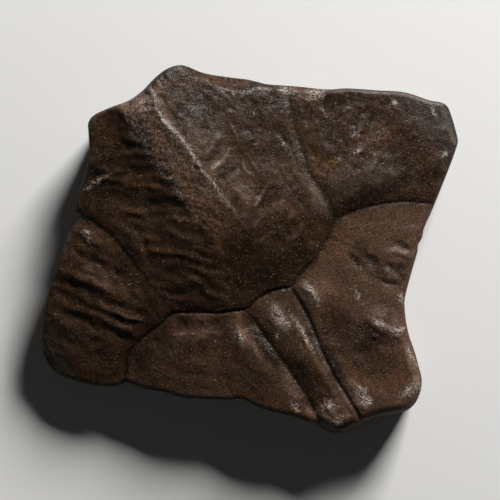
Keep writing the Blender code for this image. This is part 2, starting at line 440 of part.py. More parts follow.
def eased_line(t):
    """0 up to 0, 1 from 1 on, and a straight line between them whose ends are slightly eased."""
    return 0.7 * np.clip(t, 0, 1) + 0.3 * eased(t)


def folds(x, y, strokes):
    """The height that ridges and furrows add. Their lines waver a little, as grown ones do."""
    x = x + WAVER * ripple(x, y, 1.8, 83.0)
    y = y + WAVER * ripple(x, y, 1.8, 89.0)
    uneven = UNEVENNESS * ripple(x, y, 1.5, 97.0)
    lift = np.zeros(x.shape)
    for height, half_width, points in strokes:
        line = smooth_line(points, FOLD_STEP)
        low = line.min(axis=0) - 3 * half_width
        high = line.max(axis=0) + 3 * half_width
        near = (x > low[0]) & (x < high[0]) & (y > low[1]) & (y < high[1])
        if not near.any():
            continue
        away, share, _ = measure(x[near], y[near], line)
        length = FOLD_STEP * (len(line) - 1)
        from_end = length * np.minimum(share, 1 - share)
        fade = 0.35 + 0.65 * eased(from_end / max(FADE_SHARE * length, half_width))
        uneven_here = 1 + uneven[near] * min(1, (NARROW / half_width) ** 2)
        lift[near] += height * fade * uneven_here * np.exp(-((away / half_width) ** 2))
    return lift


def dome(x, y):
    """The plate's plain surface: arched to the sides and the rear, and flat in front."""
    rear = np.clip(y - CROWN_SETBACK, 0, None) / (HALF_LENGTH - CROWN_SETBACK)
    front = eased((CROWN_SETBACK - y) / FRONT_RUN)
    wing = np.abs(x / HALF_WIDTH) ** np.where(x < 0, RIGHT_CURVE, LEFT_CURVE)
    return CROWN_HEIGHT - WING_DROP * wing - REAR_DROP * rear**2 - FRONT_DROP * front


def roof(x, y):
    """The vertebral scute's two halves lean against each other like a low roof."""
    ridge = height_of(y, [(b, a) for a, b in KEEL_CREST])
    right = height_of(y, [(b, a) for a, b in RIGHT_LATERAL])
    left = height_of(y, [(b, a) for a, b in LEFT_LATERAL])
    share = (x - ridge) / np.where(x > ridge, left - ridge, right - ridge)
    return ROOF_HEIGHT * (1 - eased_line(share)) * eased((y + 6) / 16)


def cushions(x, y):
    """The grooves between the scutes, and the slopes that fall to them from each scute's cushion."""
    in_front = height_of(x, TRANSVERSE) - y
    slope = np.zeros(x.shape)
    groove = np.zeros(x.shape)
    for name, (points, depth, half_width, drop, left_reach, right_reach) in SULCI.items():
        away, share, side = measure(x, y, smooth_line(points, 0.4))
        left = height_of(share, WORN_SULCI.get(name, [(0.0, 1.0), (1.0, 1.0)]))
        if name in REAR_SULCI:
            drop = drop * left
        fall = drop * np.exp(-away / np.where(side > 0, left_reach, right_reach))
        if name in REAR_SULCI:
            fall = np.where(in_front < 0, fall, 0)
        if name in FRONT_SULCI:
            fall = fall * eased(in_front / FADE_IN)
        slope += fall
        groove = np.maximum(groove, left * depth * np.exp(-((away / half_width) ** 2)))
    return -slope - groove


def keel(x, y):
    ridge = height_of(y, [(b, a) for a, b in KEEL_CREST])
    offset = x - ridge + RAGGED * ripple(x, y, 1.1, 103.0)
    return height_of(y, KEEL_HEIGHTS) * height_of(offset, KEEL_SECTION)


def growth_waves(x, y):
    """Wavy growth ridges that run slantwise over the -X half of the vertebral scute."""
    across = np.hypot(x - WAVE_CENTRE[0], y - WAVE_CENTRE[1]) + 1.8 * ripple(x, y, 4.0, 3.0)
    strength = WAVE_HEIGHT * eased((-4.4 - x) / 2.0) * eased((x + 15.4) / 2.0)
    strength = strength * eased((27 - y) / 6) * eased((y + 4.0) / 3.0)
    return strength * np.cos(2 * np.pi * across / WAVE_SPACING)


def lumps(x, y):
    """The slow unevenness of worn bone."""
    return 0.22 * ripple(x, y, 7.0, 11.0) + 0.12 * ripple(x, y, 2.8, 5.0)


def breaks(x, y, rim_away):
    """How far the broken edge and the chips cut down."""
    line = smooth_line(BROKEN_EDGE, FOLD_STEP)
    away, share, side = measure(x, y, line)
    outside = (side > 0) & (share > 0) & (share < 1) & (rim_away < 4)
    cut = np.where(outside, BROKEN_SLOPE * away, 0)
    for (cx, cy), facing, fall in CHIPS:
        facing = np.array(facing) / np.linalg.norm(facing)
        beyond = (x - cx) * facing[0] + (y - cy) * facing[1]
        beside = np.abs((x - cx) * facing[1] - (y - cy) * facing[0])
        cut += fall * np.clip(beyond, 0, None) * eased(1.5 - 1.5 * beside / CHIP_REACH)
    return cut


def front_margin(x, y):
    """1 along the free front margin, where the edge is a thick rounded lip, and 0 elsewhere."""
    return eased((-14 - y + 0.35 * (x - 4)) / 6) * eased((x + 7.5) / 4) * eased((15 - x) / 6)


def rounding(away, radius):
    """How far a rounded edge drops at this distance from the rim."""
    inward = np.clip(1 - away / radius, 0, 1)
    return radius * (1 - np.sqrt(1 - inward**2))


def outer_height(x, y, rim):
    """Height of the outer side above the ground."""
    away, _, _ = measure(x, y, rim, closed=True)
    radius = EDGE_ROUND + (LIP_ROUND - EDGE_ROUND) * front_margin(x, y)
    height = dome(x, y) + roof(x, y) + cushions(x, y) + keel(x, y) + growth_waves(x, y)
    height += folds(x, y, FOLDS) + lumps(x, y)
    return height - breaks(x, y, away) - rounding(away, radius)


def inner_height(x, y, rim):
    """Height of the inner side above the ground: hollow, with a thick lip along the front."""
    away, _, _ = measure(x, y, rim, closed=True)
    margin = front_margin(x, y)
    wrapped = margin * eased((SKIN_LINE - away) / 1.2)
    height = dome(x, y) - THICKNESS - LIP_THICKENING * eased((-8 - y) / 18)
    height -= REAR_THICKENING * eased((y - 12) / 15) + SKIN_STEP * wrapped
    height -= folds(x, y, RIB_SWELLINGS) + 0.25 * ripple(x, y, 8.0, 29.0)
    (px, py), pedestal_radius, pedestal_height = PEDESTAL
    height -= pedestal_height * np.exp(-(((x - px) ** 2 + (y - py) ** 2) / pedestal_radius**2))
    for line in (RIGHT_CERVICAL, LEFT_CERVICAL):
        groove, _, _ = measure(x, y, smooth_line(line, 0.4))
        height += 0.35 * wrapped * np.exp(-((groove / 0.45) ** 2))
    radius = EDGE_ROUND + (LIP_ROUND - EDGE_ROUND) * margin
    return np.maximum(height, -FOOT_SINK) + rounding(away, radius)


def moved_in(loop, distance):
    """The line moved to its left, which on the outline is inwards, by one distance or one per point."""
    ahead = np.roll(loop, -1, axis=0) - np.roll(loop, 1, axis=0)
    ahead /= np.linalg.norm(ahead, axis=1, keepdims=True)
    inwards = np.column_stack([-ahead[:, 1], ahead[:, 0]])
    return loop + inwards * np.reshape(distance, (-1, 1))


def relaxed(loop, rounds):
    """The closed loop with its sharp turns eased out."""
    for _ in range(rounds):
        loop = (np.roll(loop, 1, axis=0) + 2 * loop + np.roll(loop, -1, axis=0)) / 4
    return loop


def plan(loop, spacing, rails):
    """A flat triangle mesh inside the loop. Its first points are the loop's own."""
    rows = [loop]
    for inset in RIM_INSETS:
        ring = moved_in(loop, inset)
        away, _, _ = measure(ring[:, 0], ring[:, 1], loop, closed=True)
        rows.append(ring[away > 0.93 * inset])
    last_ring = len(rows)
    for line in rails:
        rows += [line] + [moved_in(line, offset)[1:-1] for offset in RAIL_OFFSETS]
    low, high = loop.min(axis=0), loop.max(axis=0)
    row_gap = spacing * np.sqrt(3) / 2
    for i, level in enumerate(np.arange(low[1], high[1], row_gap)):
        across = np.arange(low[0] + (i % 2) * spacing / 2, high[0], spacing)
        rows.append(np.column_stack([across, np.full(across.shape, level)]))
    clear = np.vstack(rows[:last_ring])
    grid = np.vstack(rows[last_ring:])
    away, _, _ = measure(grid[:, 0], grid[:, 1], loop, closed=True)
    grid = grid[away > RIM_INSETS[-1] + 0.4 * spacing]
    points = [Vector(p) for p in np.vstack([clear, grid])]
    border = [list(range(len(loop)))]
    kept, _, faces, origins = geometry.delaunay_2d_cdt(points, [], border, 1, 1e-4)[:4]
    used = sorted({i for face in faces for i in face})
    number = {old: new for new, old in enumerate(used)}
    corner = {origin: number[i] for i in used for origin in origins[i]}
    faces = [[number[i] for i in face] for face in faces]
    return np.array([kept[i] for i in used]), faces, [corner[i] for i in range(len(loop))]


def plate_mesh():
    """The closed mesh: outer side, inner side and the sides between them."""
    rim = smooth_line(OUTLINE, TOP_SPACING, closed=True)
    margin = front_margin(rim[:, 0], rim[:, 1])
    foot = relaxed(moved_in(relaxed(rim, 6), UNDERCUT * (1 - 0.6 * margin)), 6)
    rails = [smooth_line(sulcus[0], TOP_SPACING) for sulcus in SULCI.values()]
    made = bmesh.new()

    def add_points(xy, z):
        return [made.verts.new((a * MM, b * MM, c * MM)) for (a, b), c in zip(xy, z)]

    outer_xy, outer_faces, outer_rim = plan(rim, TOP_SPACING, rails)
    outer_z = outer_height(outer_xy[:, 0], outer_xy[:, 1], rim)
    outer = add_points(outer_xy, outer_z)
    inner_xy, inner_faces, inner_rim = plan(foot, UNDER_SPACING, [])
    inner_z = inner_height(inner_xy[:, 0], inner_xy[:, 1], foot)
    inner = add_points(inner_xy, inner_z)
    for face in outer_faces:
        made.faces.new([outer[i] for i in face])
    for face in inner_faces:
        made.faces.new([inner[i] for i in reversed(face)])

    top_z, low_z = outer_z[outer_rim], inner_z[inner_rim]
    above = [outer[i] for i in outer_rim]
    around = np.arange(len(rim)) * TOP_SPACING
    for ring in range(1, SIDE_RINGS + 1):
        t = ring / SIDE_RINGS
        if ring == SIDE_RINGS:
            below = [inner[i] for i in inner_rim]
        else:
            waist = np.sin(np.pi * t)
            suture = 0.30 * ripple(around, np.full(around.shape, 3.0 * t), 1.7, 17.0)
            bulge = (0.30 * margin + (suture - 0.10) * (1 - margin)) * waist
            level = moved_in((1 - t) * rim + t * foot, -bulge)
            below = add_points(level, (1 - t) * top_z + t * low_z)
        for i in range(len(rim)):
            j = (i + 1) % len(rim)
            made.faces.new([above[j], above[i], below[i], below[j]])
        above = below
    bmesh.ops.triangulate(made, faces=made.faces)
    bmesh.ops.recalc_face_normals(made, faces=made.faces)
    mesh = bpy.data.meshes.new("nuchal_plate")
    made.to_mesh(mesh)
    made.free()
    return mesh


def bone_material():
    material = bpy.data.materials.new("fossil_bone")
    material.use_nodes = True
    shader = material.node_tree.nodes["Principled BSDF"]
    shader.inputs["Base Color"].default_value = (*BONE_COLOR, 1.0)
    shader.inputs["Roughness"].default_value = BONE_ROUGHNESS
    shader.inputs["Metallic"].default_value = 0.0
    return material


def ground_cutter():
    """A block whose top is the ground: it wears the plate's lowest places flat."""
    made = bmesh.new()
    bmesh.ops.create_cube(made, size=1.0)
    bmesh.ops.scale(made, verts=made.verts, vec=(90 * MM, 80 * MM, 10 * MM))
    bmesh.ops.translate(made, verts=made.verts, vec=(0, 0, -5 * MM))
    mesh = bpy.data.meshes.new("ground_cutter")
    made.to_mesh(mesh)
    made.free()
    cutter = bpy.data.objects.new("ground_cutter", mesh)
    cutter.hide_render = True
    cutter.display_type = "WIRE"
    bpy.context.scene.collection.objects.link(cutter)
    return cutter


def build_plate():
    mesh = plate_mesh()
    mesh.materials.append(bone_material())
    mesh.shade_smooth()
    plate = bpy.data.objects.new("nuchal_plate", mesh)
    bpy.context.scene.collection.objects.link(plate)
    thinned = plate.modifiers.new("thinned", "DECIMATE")
    thinned.ratio = TRIANGLES / len(mesh.polygons)
    worn = plate.modifiers.new("worn_flat", "BOOLEAN")
    worn.operation = "DIFFERENCE"
    worn.solver = "EXACT"
    worn.object = ground_cutter()
    return plate


for old in list(bpy.data.objects):
    bpy.data.objects.remove(old)
build_plate()
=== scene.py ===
# %% [markdown]
# # A fossil nuchal plate
# The nuchal is the front plate of a turtle's upper shell. This one is a loose fossil bone, lying on
# its hollow inner side. The lesson rebuilds its solid as a dense mesh, adds the ridges, pits and
# grain that a coarse solid can't hold, and gives it the finish of dark mineralised bone.
# The first cell loads the solid as a fixed frame: +Z is up, -Y the free front margin, and one unit
# is a metre.

# %% The frame
import math

import bmesh
import bpy
import numpy as np
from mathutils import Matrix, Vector, geometry, kdtree, noise


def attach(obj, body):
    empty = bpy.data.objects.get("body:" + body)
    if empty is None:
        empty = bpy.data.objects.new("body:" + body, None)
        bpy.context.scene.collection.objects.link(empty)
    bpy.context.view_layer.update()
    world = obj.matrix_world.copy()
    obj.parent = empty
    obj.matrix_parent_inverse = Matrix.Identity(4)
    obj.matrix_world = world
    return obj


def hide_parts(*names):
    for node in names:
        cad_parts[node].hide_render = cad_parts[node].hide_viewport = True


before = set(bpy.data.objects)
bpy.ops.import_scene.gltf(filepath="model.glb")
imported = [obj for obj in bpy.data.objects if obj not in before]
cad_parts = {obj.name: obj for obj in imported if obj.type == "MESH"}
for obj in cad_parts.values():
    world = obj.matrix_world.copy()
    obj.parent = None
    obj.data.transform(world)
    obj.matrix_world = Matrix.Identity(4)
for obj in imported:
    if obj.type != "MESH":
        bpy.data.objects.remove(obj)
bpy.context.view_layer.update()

MM = 0.001  # metres in a millimetre

# %% [markdown]
# ## Camera
# A flat specimen is looked at from straight above, through a long lens so that its height doesn't
# bend its outline. The camera is turned so that the plate lies aslant in the picture. Turning the
# camera and not the plate keeps the bone in the frame of the solid.

# %% The camera
PICTURE_WIDTH = 70.0  # mm of the plate's plane that the picture takes in
PICTURE_CENTRE = (-0.76, 1.40)  # mm, the point under the camera
PICTURE_TURN = math.radians(-30)
CAMERA_HEIGHT = 420.0  # mm above the plate's edge
EDGE_HEIGHT = 4.5  # mm, the height at which the outline is seen
SENSOR_WIDTH = 36.0  # mm
camera_data = bpy.data.cameras.new("camera")
camera_data.sensor_width = SENSOR_WIDTH
camera_data.lens = SENSOR_WIDTH * CAMERA_HEIGHT / PICTURE_WIDTH
camera = bpy.data.objects.new("camera", camera_data)
camera.location = (PICTURE_CENTRE[0] * MM, PICTURE_CENTRE[1] * MM, (CAMERA_HEIGHT + EDGE_HEIGHT) * MM)
camera.rotation_euler = (0, 0, PICTURE_TURN)
bpy.context.scene.collection.objects.link(camera)
bpy.context.scene.camera = camera
print("lens, mm:", camera_data.lens)

# %% [markdown]
# ## The outline
# The plate's edge is a worn, slightly broken line, so no formula gives it. It is drawn in millimetres,
# with a point wherever the edge turns, and a Catmull-Rom curve runs through the points.

# %% The outline
CURVE_STEPS = 16  # points read off the curve between two of the given ones
RIM_SPACING = 0.20  # mm between the points of the edge
OUTLINE = [
    (-33.3, 2.0), (-33.1, 0.6), (-32.3, -0.9), (-30.2, -3.2), (-28.2, -4.8), (-26.4, -5.7),
    (-24.9, -6.1), (-23.2, -8.1), (-21.0, -9.9), (-19.3, -11.7), (-16.9, -13.3), (-13.8, -15.2),
    (-12.1, -16.1), (-10.7, -18.2), (-9.3, -19.7), (-6.8, -22.1), (-4.3, -25.4), (-2.7, -27.0),
    (0.0, -27.4), (2.7, -27.7), (5.0, -28.4), (6.8, -28.9), (8.4, -28.7), (10.0, -27.6), (11.0, -26.2),
    (11.6, -24.2), (12.1, -22.2), (12.5, -20.1), (13.1, -18.2), (14.0, -16.2), (14.9, -14.9),
    (17.2, -12.6), (19.3, -10.6), (20.0, -9.7), (21.0, -9.1), (21.9, -8.1), (24.0, -6.6), (26.2, -4.9),
    (29.4, -2.4), (31.2, -0.9), (32.2, 0.1), (32.7, 1.4), (33.2, 3.4), (33.3, 5.0), (32.7, 6.0),
    (31.5, 7.0), (29.0, 9.7), (25.7, 11.9), (22.2, 14.2), (19.8, 15.4), (16.0, 18.1), (13.0, 20.1),
    (11.8, 21.2), (10.6, 22.3), (8.6, 23.8), (6.0, 25.9), (4.2, 28.1), (2.8, 28.8), (1.2, 28.9),
    (-0.8, 28.5), (-2.6, 28.0), (-5.0, 27.8), (-8.0, 28.3), (-10.2, 28.5), (-11.4, 28.0), (-12.1, 26.7),
    (-13.0, 24.9), (-14.2, 23.2), (-15.4, 22.1), (-16.9, 20.7), (-18.4, 19.3), (-19.1, 18.4),
    (-18.9, 17.5), (-19.4, 17.0), (-22.0, 15.7), (-25.0, 13.2), (-27.4, 11.1), (-30.0, 8.4),
    (-31.6, 6.2), (-32.9, 4.0),
]


def smooth_line(points, spacing, closed=False):
    """An even row of points along the Catmull-Rom curve through the given ones."""
    points = np.array(points, float)
    if closed:
        around = np.vstack([points[-1:], points, points[:2]])
    else:
        around = np.vstack([2 * points[:1] - points[1:2], points, 2 * points[-1:] - points[-2:-1]])
    dense = []
    for before, start, end, after in zip(around, around[1:], around[2:], around[3:]):
        for t in np.linspace(0, 1, CURVE_STEPS, endpoint=False):
            dense.append(
                start
                + 0.5 * t * (end - before)
                + t**2 * (before - 2.5 * start + 2 * end - 0.5 * after)
                + 0.5 * t**3 * (3 * start - before - 3 * end + after)
            )
    dense.append(points[0] if closed else points[-1])
    dense = np.array(dense)
    run = np.concatenate([[0], np.cumsum(np.linalg.norm(np.diff(dense, axis=0), axis=1))])
    count = max(2, round(run[-1] / spacing) + 1)
    at = np.linspace(0, run[-1], count)
    line = np.column_stack([np.interp(at, run, dense[:, 0]), np.interp(at, run, dense[:, 1])])
    return line[:-1] if closed else line


rim = smooth_line(OUTLINE, RIM_SPACING, closed=True)
print("outline:", len(OUTLINE), "points by hand,", len(rim), "on the curve")

# %% [markdown]
# ## Measuring from lines
# Nearly every feature of the bone follows a line: a groove, a ridge, a border, a break. So the
# surface is made as a height for each point, and the heights come from how far the point is from
# those lines. These few helpers do the measuring. Noise from `mathutils` gives the unevenness.

# %% Helpers for distances and noise
def measure(x, y, line, closed=False):
    """Each point's distance to the line, the share of its length reached there, and the line's side.

    The side is 1 on the line's left and -1 on its right.
    """
    starts = line
    ends = np.roll(line, -1, axis=0)
    if not closed:
        starts, ends = starts[:-1], ends[:-1]
    best = np.full(x.shape, np.inf)
    share = np.zeros(x.shape)
    side = np.ones(x.shape)
    for i, (start, end) in enumerate(zip(starts, ends)):
        run = end - start
        dx, dy = x - start[0], y - start[1]
        t = np.clip((dx * run[0] + dy * run[1]) / (run @ run), 0, 1)
        away = np.hypot(dx - t * run[0], dy - t * run[1])
        nearer = away < best
        best = np.where(nearer, away, best)
        share = np.where(nearer, (i + t) / len(starts), share)
        side = np.where(nearer, np.sign(run[0] * dy - run[1] * dx), side)
    return best, share, side


def away_from(x, y, line):
    """Each point's distance to the nearest point of a densely drawn line."""
    tree = kdtree.KDTree(len(line))
    for i, (a, b) in enumerate(line):
        tree.insert((a, b, 0), i)
    tree.balance()
    return np.array([tree.find((a, b, 0))[2] for a, b in zip(x, y)])


def value_at(x, table):
    """A curve's value at x, from its (x, value) pairs."""
    xs, values = zip(*table)
    return np.interp(x, xs, values)


def line_x(y, line):
    """Where a line that runs from front to rear lies at this y."""
    return value_at(y, [(b, a) for a, b in line])


def ripple(x, y, size, seed):
    """Smooth noise from -1 to 1 whose lumps are about this size."""
    return np.array([noise.noise((a / size, b / size, seed)) for a, b in zip(x, y)])


def ripples(x, y, table):
    """Ripples added up, each given as (height, size, seed)."""
    return sum(height * ripple(x, y, size, seed) for height, size, seed in table)


def eased(t):
    """0 up to 0, 1 from 1 on, and a soft S between them."""
    t = np.clip(t, 0, 1)
    return t * t * (3 - 2 * t)


def band(values, ends, rise, fall):
    """1 between the two ends and 0 beyond them, with soft slopes of these lengths inside."""
    low, high = ends
    return eased((values - low) / rise) * eased((high - values) / fall)


# %% [markdown]
# ## The dome
# A turtle's shell is arched, and so is this plate. Its crown lies behind the middle, and it falls to
# both wings, to the rear end and to the flat front part. A few smooth curves give this form, and the
# grooves, ridges and pits are added to it later as small heights.

# %% The dome
HALF_WIDTH = 33.3  # from the middle to a wing's tip
HALF_LENGTH = 28.9  # from the middle to the front margin or the rear end
CROWN_HEIGHT = 8.6  # the dome's top above the ground, without scutes and keel
CROWN_SETBACK = 6.0  # the dome's top lies this far behind the middle
WING_DROP = 4.15  # how far the dome falls from its top to a wing's tip
RIGHT_CURVE = 2.3  # how evenly it falls: 1 is a straight slope, and more keeps the middle flatter
LEFT_CURVE = 1.6
REAR_DROP = 1.2  # how far it falls to the rear end
FRONT_DROP = 0.9  # how far it falls to the flat front part
FRONT_RUN = 15.0  # and over what length


def dome(x, y):
    """The plate's plain surface: arched to the sides and the rear, and flat in front."""
    rear = np.clip(y - CROWN_SETBACK, 0, None) / (HALF_LENGTH - CROWN_SETBACK)
    front = eased((CROWN_SETBACK - y) / FRONT_RUN)
    wing = np.abs(x / HALF_WIDTH) ** np.where(x < 0, RIGHT_CURVE, LEFT_CURVE)
    return CROWN_HEIGHT - WING_DROP * wing - REAR_DROP * rear**2 - FRONT_DROP * front


print("crown above the ground, mm:", dome(np.zeros(1), np.full(1, CROWN_SETBACK))[0])

# %% [markdown]
# ## The sulci and the scutes' cushions
# Horny scutes covered the bone, and their borders pressed narrow grooves into it, the sulci. Inside
# its border each scute's patch swells up like a low cushion. A groove is a bell curve of the distance
# to its line, and a cushion is a curve that rises with that distance and levels off.

# %% Sulci and cushions
SULCUS_STEP = 0.4  # between the points that a sulcus is read at
TRANSVERSE = [
    (-26.5, -8.0), (-24.9, -5.6), (-23.6, -3.5), (-22.6, -2.6), (-20.5, -1.9), (-17.6, -1.5),
    (-14.5, -0.9), (-12.9, -1.7), (-10.9, -2.8), (-9.1, -3.9), (-7.5, -4.6), (-5.2, -5.5), (-4.2, -5.2),
    (-2.6, -5.0), (-1.0, -5.1), (0.4, -5.5), (1.5, -5.9), (2.9, -5.3), (4.8, -4.7), (6.6, -4.1),
    (8.4, -3.1), (10.0, -2.1), (11.8, -1.0), (14.0, -1.1), (16.0, -1.5), (18.0, -2.1), (20.0, -2.9),
    (22.0, -4.0), (23.5, -5.0), (24.7, -5.9), (26.5, -8.0),
]
RIGHT_LATERAL = [
    (-14.5, -0.9), (-14.8, 1.6), (-15.2, 3.6), (-15.5, 5.4), (-15.7, 7.5), (-15.9, 9.4), (-16.2, 11.4),
    (-16.5, 12.9), (-17.3, 14.6), (-17.9, 16.0), (-18.9, 17.7), (-20.4, 20.0),
]
LEFT_LATERAL = [
    (11.6, -1.0), (11.8, 1.0), (11.8, 4.0), (11.8, 6.0), (12.0, 8.0), (12.5, 10.0), (12.9, 12.0),
    (13.4, 14.0), (14.0, 16.0), (15.0, 18.2), (16.2, 20.5),
]
RIGHT_CERVICAL = [
    (-4.6, -28.5), (-4.4, -25.5), (-4.2, -22.0), (-4.15, -20.0), (-4.2, -18.0), (-4.4, -16.0),
    (-4.5, -14.0), (-4.8, -11.5), (-5.0, -9.5), (-5.2, -7.0), (-5.2, -5.5),
]
LEFT_CERVICAL = [
    (0.8, -29.5), (0.8, -26.0), (0.7, -22.0), (0.6, -20.0), (0.65, -18.0), (0.8, -16.0), (1.15, -14.0),
    (1.45, -12.0), (1.6, -10.0), (1.65, -8.0), (1.5, -5.9),
]
# Each sulcus: its points, the depth and half-width of its floor, how far the bone drops towards it,
# and how far that slope reaches on the line's left side and on its right side.
SULCI = {
    "transverse": (TRANSVERSE, 0.17, 0.22, 0.44, 2.2, 20.0),
    "right_lateral": (RIGHT_LATERAL, 0.06, 0.35, 0.17, 25.0, 0.9),
    "left_lateral": (LEFT_LATERAL, 0.08, 0.50, 0.03, 1.4, 1.4),
    "right_cervical": (RIGHT_CERVICAL, 0.08, 0.50, 0.75, 14.0, 1.7),
    "left_cervical": (LEFT_CERVICAL, 0.12, 0.28, 0.48, 4.0, 1.5),
}
REAR_SULCI = ("right_lateral", "left_lateral")
FRONT_SULCI = ("right_cervical", "left_cervical")
# Some are worn along part of their length: (share of the length, share of the depth that is left).
WORN_SULCI = {
    "transverse": [(0.0, 0.7), (0.1, 0.7), (0.2, 1.0), (0.68, 1.0), (0.76, 0.4), (1.0, 0.4)],
    "right_lateral": [(0.0, 0.3), (0.35, 0.35), (0.5, 0.9), (1.0, 1.0)],
}
FADE_IN = 3.0  # the front sulci's slopes reach their full height this far from the transverse one


def cushions(x, y):
    """The grooves between the scutes, and the slopes that fall to them from each scute's cushion."""
    in_front = value_at(x, TRANSVERSE) - y
    slope = np.zeros(x.shape)
    groove = np.zeros(x.shape)
    for name, (points, depth, half_width, drop, left_reach, right_reach) in SULCI.items():
        away, share, side = measure(x, y, smooth_line(points, SULCUS_STEP))
        left = value_at(share, WORN_SULCI.get(name, [(0.0, 1.0), (1.0, 1.0)]))
        if name in REAR_SULCI:
            drop = drop * left
        fall = drop * np.exp(-away / np.where(side > 0, left_reach, right_reach))
        if name in REAR_SULCI:
            fall = np.where(in_front < 0, fall, 0)
        if name in FRONT_SULCI:
            fall = fall * eased(in_front / FADE_IN)
        slope += fall
        groove = np.maximum(groove, left * depth * np.exp(-((away / half_width) ** 2)))
    return -slope - groove


print("sulci:", ", ".join(SULCI))

# %% [markdown]
# ## The keel
# A low keel runs along the shell's middle, and its front end is on this plate. It is not a plain
# ridge: one flank is steep and smooth, the other is a rough shelf that ends in a step. So it has a
# section of its own, which is carried along the crest's line and fades out forwards.

# %% The keel
KEEL_CREST = [
    (0.1, 2.0), (0.1, 4.5), (0.0, 6.0), (-0.4, 9.5), (-0.7, 12.8), (-1.1, 14.0), (-1.35, 18.0),
    (-1.75, 20.0), (-2.15, 22.0), (-2.5, 23.4), (-2.25, 25.0), (-1.85, 26.4), (-1.6, 29.0),
]
KEEL_HEIGHTS = [  # the crest's height at each y
    (1.0, 0.0), (6.0, 0.18), (10.0, 0.40), (14.0, 0.65), (20.0, 0.88), (26.0, 1.05), (29.0, 0.85),
]
KEEL_SECTION = [  # the share of it at each distance from the crest
    (-7.5, 0.0), (-6.3, 0.08), (-5.5, 0.24), (-4.7, 0.44), (-3.9, 0.58), (-1.2, 0.70), (-0.4, 0.86),
    (0.0, 1.0), (0.5, 0.84), (1.5, 0.68), (5.0, 0.34), (9.5, 0.0),
]
RAGGED = 0.35  # how far the worn crest strays from its line


def beside_crest(x, y):
    """How far each point lies to the +X side of the keel's ragged crest."""
    return x - line_x(y, KEEL_CREST) + RAGGED * ripple(x, y, 1.1, 103.0)


def keel(x, y):
    return value_at(y, KEEL_HEIGHTS) * value_at(beside_crest(x, y), KEEL_SECTION)


print("keel's height at the rear, mm:", KEEL_HEIGHTS[-1][1])

# %% [markdown]
# ## The roof
# The two halves of the vertebral scute lean against each other along the keel, so the bone under it
# has the shape of a low roof. Each slope is nearly straight, which keeps the crest sharp.

# %% The roof
ROOF_HEIGHT = 1.4  # the vertebral scute's middle rises this far above its side borders
ROOF_FRONT = -6.0  # the roof starts at this y
ROOF_RUN = 16.0  # and has its full height this far behind


def roof(x, y):
    """How far the slopes rise from the scute's side borders to the crest."""
    ridge = line_x(y, KEEL_CREST)
    border = np.where(x > ridge, line_x(y, LEFT_LATERAL), line_x(y, RIGHT_LATERAL))
    share = (x - ridge) / (border - ridge)
    fall = 0.7 * np.clip(share, 0, 1) + 0.3 * eased(share)
    return ROOF_HEIGHT * (1 - fall) * eased((y - ROOF_FRONT) / ROOF_RUN)


rear_end = np.full(1, HALF_LENGTH)
print("roof's top at the rear end, mm:", roof(line_x(rear_end, KEEL_CREST), rear_end)[0])

# %% [markdown]
# ## Growth ridges, folds and pits
# As a scute grows it leaves ridges in the bone. Each fold here is a short line with a height and a
# half-width in millimetres, raised or sunk with a bell curve and faded at both ends. Drawing each
# one keeps their spacing and slant like the real ones, which noise alone wouldn't.

